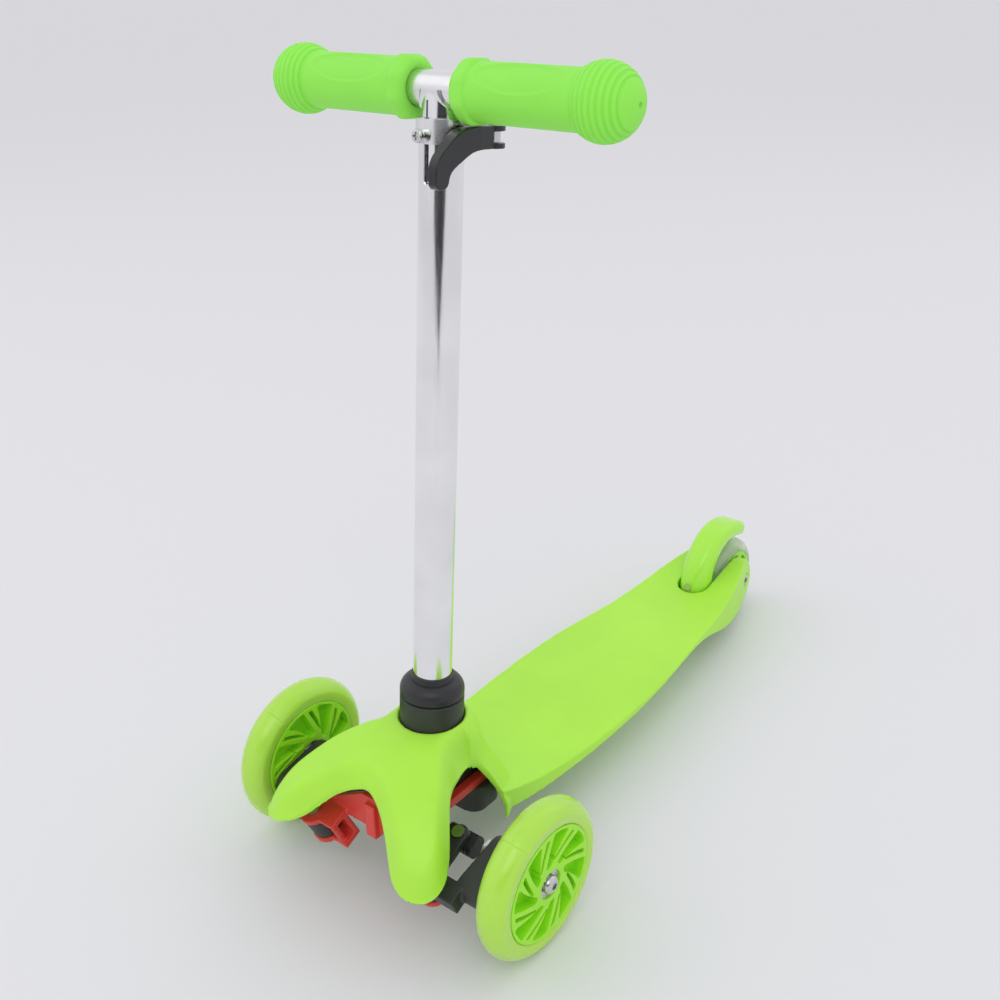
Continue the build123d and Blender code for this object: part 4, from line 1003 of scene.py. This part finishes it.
@dataclass
class Tyre:
    """Cast tyre with a round tread, soft shoulders, a faint mould line and a groove for the core's tongue.

    The tread is an arc that falls by the crown at its edges, with a ridge in its middle.  A front tyre also
    has a shallow cut across it where its ends are joined, a bell curve of the angle from the joint.
    """

    name: str
    node: str
    body: str
    axle: tuple[float, float, float]
    radius: float
    width: float
    depth: float
    crown: float = 8.0
    tongue_width: float = 12.0
    tongue_depth: float = 6.0
    shoulder: float = 1.6
    seam: float = 0.18
    seam_half: float = 0.5
    tread_steps: int = 41
    around: int = 160
    finish: str = "tyre"
    joint: float | None = None
    joint_half: float = math.radians(0.35)
    joint_depth: float = 0.45

    def _section(self) -> np.ndarray:
        """Closed section of radius and height: round tread with a mould line, soft corners, tongue groove.

        Returns:
            Array of shape (n, 2) in millimetres.
        """
        half = self.width / 2
        inner = self.radius - self.depth
        height = np.linspace(-half, half, self.tread_steps)
        bulge = (self.crown**2 + half**2) / (2 * self.crown)
        tread = self.radius - bulge + np.sqrt(bulge**2 - height**2)
        tread = tread - self.seam * (1.0 - np.exp(-((height / self.seam_half) ** 2)))
        outer = np.stack([tread, height], axis=1)
        corner = self.shoulder
        groove = inner + self.tongue_depth
        wide = self.tongue_width / 2
        top = [(tread[-1] - corner * 0.6, half), (inner + corner, half), (inner, half - corner * 0.6)]
        slot = [(inner, wide), (groove, wide), (groove, -wide), (inner, -wide)]
        bottom = [(radius, -z) for radius, z in reversed(top)]
        return np.vstack([outer, top, slot, bottom])

    def build(self, paint: Paintbox) -> bpy.types.Object:
        """Tyre that stands for its CAD node.

        Args:
            paint: the finishes.

        Returns:
            The tyre piece.
        """
        angle = even_turn(self.around)
        section = self._section()
        if self.joint is not None:
            at_joint = self.joint + self.joint_half * np.linspace(-2.0, 2.0, 9)
            angle = np.unique(np.concatenate([angle, at_joint]))
        points = turned_surface(section, angle) * MM
        if self.joint is not None:
            cut = np.exp(-(((angle - self.joint) / self.joint_half) ** 2))[None, :]
            tread = section[:, 0] > self.radius - self.crown - self.shoulder
            radius = np.maximum(section[:, :1], 1.0)
            points[..., :2] *= (1.0 - self.joint_depth * cut * tread[:, None] / radius)[..., None]
        axes = np.array([[0.0, 1.0, 0.0], [0.0, 0.0, 1.0], [1.0, 0.0, 0.0]])
        points = placed(points, np.array(self.axle), axes)
        quads = grid_quads(points.shape[0], points.shape[1], True, True)
        obj = mesh_object(self.name, points.reshape(-1, 3), quads)
        paint.paint(obj, self.finish)
        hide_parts(self.node)
        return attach(obj, self.body)


@dataclass
class Fender:
    """Foot brake: a channel whose section is carried along a curved side line.

    The section is a U with round corners.  At the foot the corners meet in a half circle, and towards the tip
    they tighten while the sides get lower.
    """

    half_width: float = 14.5
    wall: float = 2.6
    crown: float = 0.9
    tip_radius: float = 12.0
    tip_share: float = 0.55
    stations: int = 72
    side_steps: int = 8
    turn_steps: int = 12
    flat_steps: int = 6
    foot_y: float = -79.0
    foot_z: float = 46.0
    line: Sequence[tuple[float, float]] = (
        (0.0, -7.0),
        (0.5, 12.0),
        (4.0, 24.0),
        (10.0, 35.0),
        (20.0, 46.5),
        (37.0, 57.5),
        (55.0, 62.0),
        (71.0, 61.0),
        (83.0, 57.8),
        (92.0, 53.0),
        (98.0, 46.5),
    )
    depths: Sequence[float] = (23.0, 22.5, 19.5, 17.5, 15.5, 13.0, 12.6, 12.4, 12.0, 11.0, 7.0)
    corners: Sequence[float] = (14.3, 14.3, 13.5, 11.5, 9.5, 7.5, 6.5, 6.5, 6.5, 6.5, 6.5)

    def _section(
        self, half: np.ndarray, corner: np.ndarray, depth: np.ndarray
    ) -> tuple[np.ndarray, np.ndarray]:
        """Line of the U at every station: a side, a quarter circle and half the flat, then the same mirrored.

        Args:
            half: half width at each station.
            corner: corner radius at each station.
            depth: side height at each station.

        Returns:
            Arrays of across and down, each of shape (stations, n).
        """
        half, corner, depth = half[:, None], corner[:, None], depth[:, None]
        side = np.linspace(1.0, 0.0, self.side_steps)
        turn = np.linspace(0.0, np.pi / 2, self.turn_steps)[1:-1]
        flat = np.linspace(0.0, 1.0, self.flat_steps)
        left_x = np.concatenate(
            [-half + 0 * side, -half + corner * (1 - np.cos(turn)), (-half + corner) * (1 - flat)], axis=1
        )
        left_down = np.concatenate(
            [corner + (depth - corner) * side, corner * (1 - np.sin(turn)), 0 * half + 0 * flat], axis=1
        )
        across = np.concatenate([left_x, -left_x[:, -2::-1]], axis=1)
        down = np.concatenate([left_down, left_down[:, -2::-1]], axis=1)
        return across, down + self.crown * (across / half) ** 2

    @staticmethod
    def _cap(row: np.ndarray) -> np.ndarray:
        """Faces that close an end of the channel between its outer and its inner line.

        Args:
            row: vertex numbers of the end's loop, the outer line first.

        Returns:
            Array of shape (n, 4) of vertex numbers.
        """
        half = len(row) // 2
        outer, inner = row[:half], row[::-1][:half]
        return np.stack([outer[:-1], outer[1:], inner[1:], inner[:-1]], axis=1)

    def build(self, paint: Paintbox) -> bpy.types.Object:
        """Fender that stands for its CAD node.

        Args:
            paint: the finishes.

        Returns:
            The fender piece.
        """
        path = resampled(self.line, self.stations)
        place = np.linspace(0.0, len(self.line) - 1.0, self.stations)
        known = np.arange(len(self.line))
        depth = np.interp(place, known, self.depths)
        corner = np.minimum(np.interp(place, known, self.corners), depth - 0.5)
        tangent = np.gradient(path, axis=0)
        tangent /= np.linalg.norm(tangent, axis=1)[:, None]
        inward = np.stack([tangent[:, 1], -tangent[:, 0]], axis=1)
        run = np.concatenate([[0.0], np.cumsum(np.linalg.norm(np.diff(path, axis=0), axis=1))])
        to_tip = np.clip((self.tip_radius - (run[-1] - run)) / self.tip_radius, 0.0, 1.0)
        half = self.half_width - self.tip_radius * self.tip_share * (1.0 - np.sqrt(1.0 - to_tip**2))
        outer_x, outer_down = self._section(half, corner, depth)
        inner_corner = np.maximum(corner - self.wall, 1.0)
        inner_x, inner_down = self._section(half - self.wall, inner_corner, depth - self.wall)
        loop_x = np.concatenate([outer_x, inner_x[:, ::-1]], axis=1)
        loop_down = np.concatenate([outer_down, inner_down[:, ::-1] + self.wall], axis=1)
        y = path[:, 0][:, None] + inward[:, 0][:, None] * loop_down
        z = path[:, 1][:, None] + inward[:, 1][:, None] * loop_down
        points = np.stack([loop_x, y + self.foot_y, z + self.foot_z], axis=-1) * MM
        points = points + np.array([0.0, REAR_AXLE_Y, 0.0])
        quads = grid_quads(points.shape[0], points.shape[1], False, True)
        flat = points.reshape(-1, 3)
        caps = [self._cap(row) for row in np.arange(len(flat)).reshape(points.shape[:2])[[0, -1]]]
        obj = mesh_object("brake_fender_moulded", flat, np.vstack([quads, *caps]))
        paint.paint(obj, "fender")
        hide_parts("brake_fender")
        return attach(obj, "brake")


@dataclass(frozen=True)
class SoftNode:
    """A moulded CAD piece that only needs round edges."""

    node: str
    body: str
    finish: str
    slot: str
    voxel: float = 0.9 * MM
    rounds: int = 4
    most_triangles: int = 60_000

    def build(self, nodes: dict[str, bpy.types.Object], paint: Paintbox) -> bpy.types.Object:
        """Softened piece that stands for its CAD node.

        Args:
            nodes: CAD nodes by name.
            paint: the finishes.

        Returns:
            The piece.
        """
        soft = Softener(self.voxel, self.rounds, self.most_triangles)
        obj = soft.piece(nodes[self.node], f"{self.node}_moulded")
        paint.paint(obj, self.finish)
        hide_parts(self.node)
        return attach(obj, self.body)


SOFT_NODES = (
    SoftNode("clamp_lever", "lever", "lever", "black", voxel=0.5 * MM, rounds=18, most_triangles=50_000),
    SoftNode("steering_bridge", "chassis", "red", "red"),
    SoftNode("knuckle_left", "steer_knuckle_left", "dark", "dark"),
    SoftNode("knuckle_right", "steer_knuckle_right", "dark", "dark"),
    SoftNode("stem_socket", "chassis", "dark", "black"),
    *(
        SoftNode(
            f"front_core_{side.word}",
            f"wheel_{side.word}",
            "core",
            "core",
            voxel=0.5 * MM,
            rounds=5,
            most_triangles=120_000,
        )
        for side in Side
    ),
)


# Stage


@dataclass
class Studio:
    """Pale floor, soft lamps and the camera at the photograph's angle."""

    azimuth: float = math.radians(38.91)
    elevation: float = math.radians(25.97)
    roll: float = math.radians(-1.11)
    eye: tuple[float, float, float] = (0.48932, -0.71778, 0.65298)
    focal_pixels: float = 1164.04
    image_pixels: float = 1000.0
    sensor: float = 36.0
    floor_size: float = 60.0
    floor_colour: Colour = (0.80, 0.80, 0.815)
    air_colour: Colour = (0.97, 0.97, 1.0)
    air_strength: float = 0.86
    aim_height: float = 0.25
    card_colour: Colour = (0.015, 0.015, 0.016)
    card_distance: float = 1.3
    card_outline: Sequence[tuple[float, float]] = (
        (0.0, 0.15),
        (0.63, 0.42),
        (0.63, 0.75),
        (-0.98, 0.75),
        (-0.98, 0.42),
    )

    def camera(self) -> bpy.types.Object:
        """Camera whose axes come from azimuth, elevation and roll.

        Returns:
            The camera object.
        """
        back = np.array(
            [
                math.sin(self.azimuth) * math.cos(self.elevation),
                -math.cos(self.azimuth) * math.cos(self.elevation),
                math.sin(self.elevation),
            ]
        )
        right = np.array([math.cos(self.azimuth), math.sin(self.azimuth), 0.0])
        up = np.cross(back, right)
        turned_right = right * math.cos(self.roll) + up * math.sin(self.roll)
        turned_up = -right * math.sin(self.roll) + up * math.cos(self.roll)
        lens = bpy.data.cameras.new("photo_camera")
        lens.sensor_width = self.sensor
        lens.lens = self.focal_pixels * self.sensor / self.image_pixels
        lens.clip_start = 0.01
        lens.clip_end = 200.0
        camera = bpy.data.objects.new("photo_camera", lens)
        bpy.context.scene.collection.objects.link(camera)
        matrix = np.eye(4)
        matrix[:3, :4] = np.stack([turned_right, turned_up, back, np.array(self.eye)], axis=1)
        camera.matrix_world = Matrix(matrix.tolist())
        bpy.context.scene.camera = camera
        return camera

    def floor(self) -> bpy.types.Object:
        """Large pale floor.

        Returns:
            The floor object.
        """
        half = self.floor_size / 2
        corners = np.array([(-half, -half, 0.0), (half, -half, 0.0), (half, half, 0.0), (-half, half, 0.0)])
        obj = mesh_object("studio_floor", corners, np.array([[0, 1, 2, 3]]), smooth=False)
        obj.data.materials.append(self._paper("studio_paper", self.floor_colour, 0.9))
        return obj

    def dark_card(self) -> bpy.types.Object:
        """Dark card behind the camera that only polished metal mirrors.

        Its lower end is a point, so the dark streak on the stem narrows downwards.

        Returns:
            The card object.
        """
        towards = np.array([self.eye[0], self.eye[1] - STEM_FOOT_Y, 0.0])
        towards /= np.linalg.norm(towards)
        across = np.array([-towards[1], towards[0], 0.0])
        corners = [
            along * across + np.array([0.0, 0.0, height]) + self.card_distance * towards
            for along, height in self.card_outline
        ]
        points = np.array(corners) + np.array([0.0, STEM_FOOT_Y, 0.0])
        obj = mesh_object("dark_card", points, np.arange(len(points))[None, :], smooth=False)
        obj.visible_camera = False
        obj.visible_diffuse = False
        obj.visible_transmission = False
        obj.visible_shadow = False
        obj.data.materials.append(self._paper("dark_card_paper", self.card_colour, 1.0))
        return obj

    @staticmethod
    def _paper(name: str, colour: Colour, roughness: float) -> bpy.types.Material:
        """Plain paper of the stage.

        Args:
            name: material name.
            colour: its colour.
            roughness: its roughness.

        Returns:
            The material.
        """
        made = bpy.data.materials.new(name)
        made.use_nodes = True
        shader = made.node_tree.nodes["Principled BSDF"]
        shader.inputs["Base Color"].default_value = (*colour, 1.0)
        shader.inputs["Roughness"].default_value = roughness
        return made

    def lamp(
        self, name: str, place: tuple[float, float, float], size: float, power: float
    ) -> bpy.types.Object:
        """Square soft lamp that faces the middle of the scooter.

        Args:
            name: lamp name.
            place: its position.
            size: edge length.
            power: watts.

        Returns:
            The lamp object.
        """
        light = bpy.data.lights.new(name, "AREA")
        light.shape = "SQUARE"
        light.size = size
        light.energy = power
        lamp = bpy.data.objects.new(name, light)
        bpy.context.scene.collection.objects.link(lamp)
        back = np.array(place) - np.array([0.0, 0.0, self.aim_height])
        back /= np.linalg.norm(back)
        right = np.cross([0.0, 1.0, 0.2], back)
        right /= np.linalg.norm(right)
        up = np.cross(back, right)
        matrix = np.eye(4)
        matrix[:3, :4] = np.stack([right, up, back, np.array(place)], axis=1)
        lamp.matrix_world = Matrix(matrix.tolist())
        return lamp

    def world(self) -> None:
        """Even pale light from all round."""
        world = bpy.data.worlds.new("studio_air")
        world.use_nodes = True
        sky = world.node_tree.nodes["Background"]
        sky.inputs["Color"].default_value = (*self.air_colour, 1.0)
        sky.inputs["Strength"].default_value = self.air_strength
        bpy.context.scene.world = world

    def build(self) -> None:
        """Set up the whole stage."""
        self.world()
        self.floor()
        self.dark_card()
        self.lamp("key_lamp", (1.2, -1.9, 2.6), size=1.8, power=12.0)
        self.lamp("fill_lamp", (-2.2, -1.0, 1.9), size=2.2, power=5.0)
        self.lamp("back_lamp", (0.6, 2.4, 2.2), size=2.0, power=4.0)
        self.camera()
        bpy.context.scene.view_settings.view_transform = "Standard"


def front_tyre(side: Side) -> Tyre:
    """Front tyre of one side.

    Args:
        side: side of the rider.

    Returns:
        The tyre, not yet built.
    """
    node = f"front_tyre_{side.word}"
    return Tyre(
        f"{node}_cast",
        node,
        f"wheel_{side.word}",
        axle=(side.value * 0.119, FRONT_AXLE_Y, 0.060),
        radius=60.0,
        width=24.0,
        depth=16.0,
        joint=math.radians(119.5),
    )


def rear_tyre() -> Tyre:
    """Rear tyre, paler than the front ones.

    Returns:
        The tyre, not yet built.
    """
    return Tyre(
        "rear_tyre_cast",
        "rear_tyre",
        "wheel_rear",
        axle=(0.0, REAR_AXLE_Y, 0.040),
        radius=40.0,
        width=24.0,
        depth=12.0,
        tongue_depth=2.0,
        finish="rear_tyre",
    )


def main() -> None:
    """Load the frame, build every piece and set up the stage."""
    logging.basicConfig(level=logging.INFO)
    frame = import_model()
    nodes = frame["nodes"]
    paint = Paintbox()
    paint.paint_nodes(nodes)
    pieces = [DeckShell().build(nodes["deck"], paint)]
    for side in Side:
        pieces.append(Grip(side).build(paint))
        pieces.append(front_tyre(side).build(paint))
    pieces.append(rear_tyre().build(paint))
    pieces.append(Fender().build(paint))
    pieces.extend(soft.build(nodes, paint) for soft in SOFT_NODES)
    for piece in pieces:
        LOG.info("piece %s: %d faces", piece.name, len(piece.data.polygons))
    Studio().build()


if __name__ == "__main__":
    main()
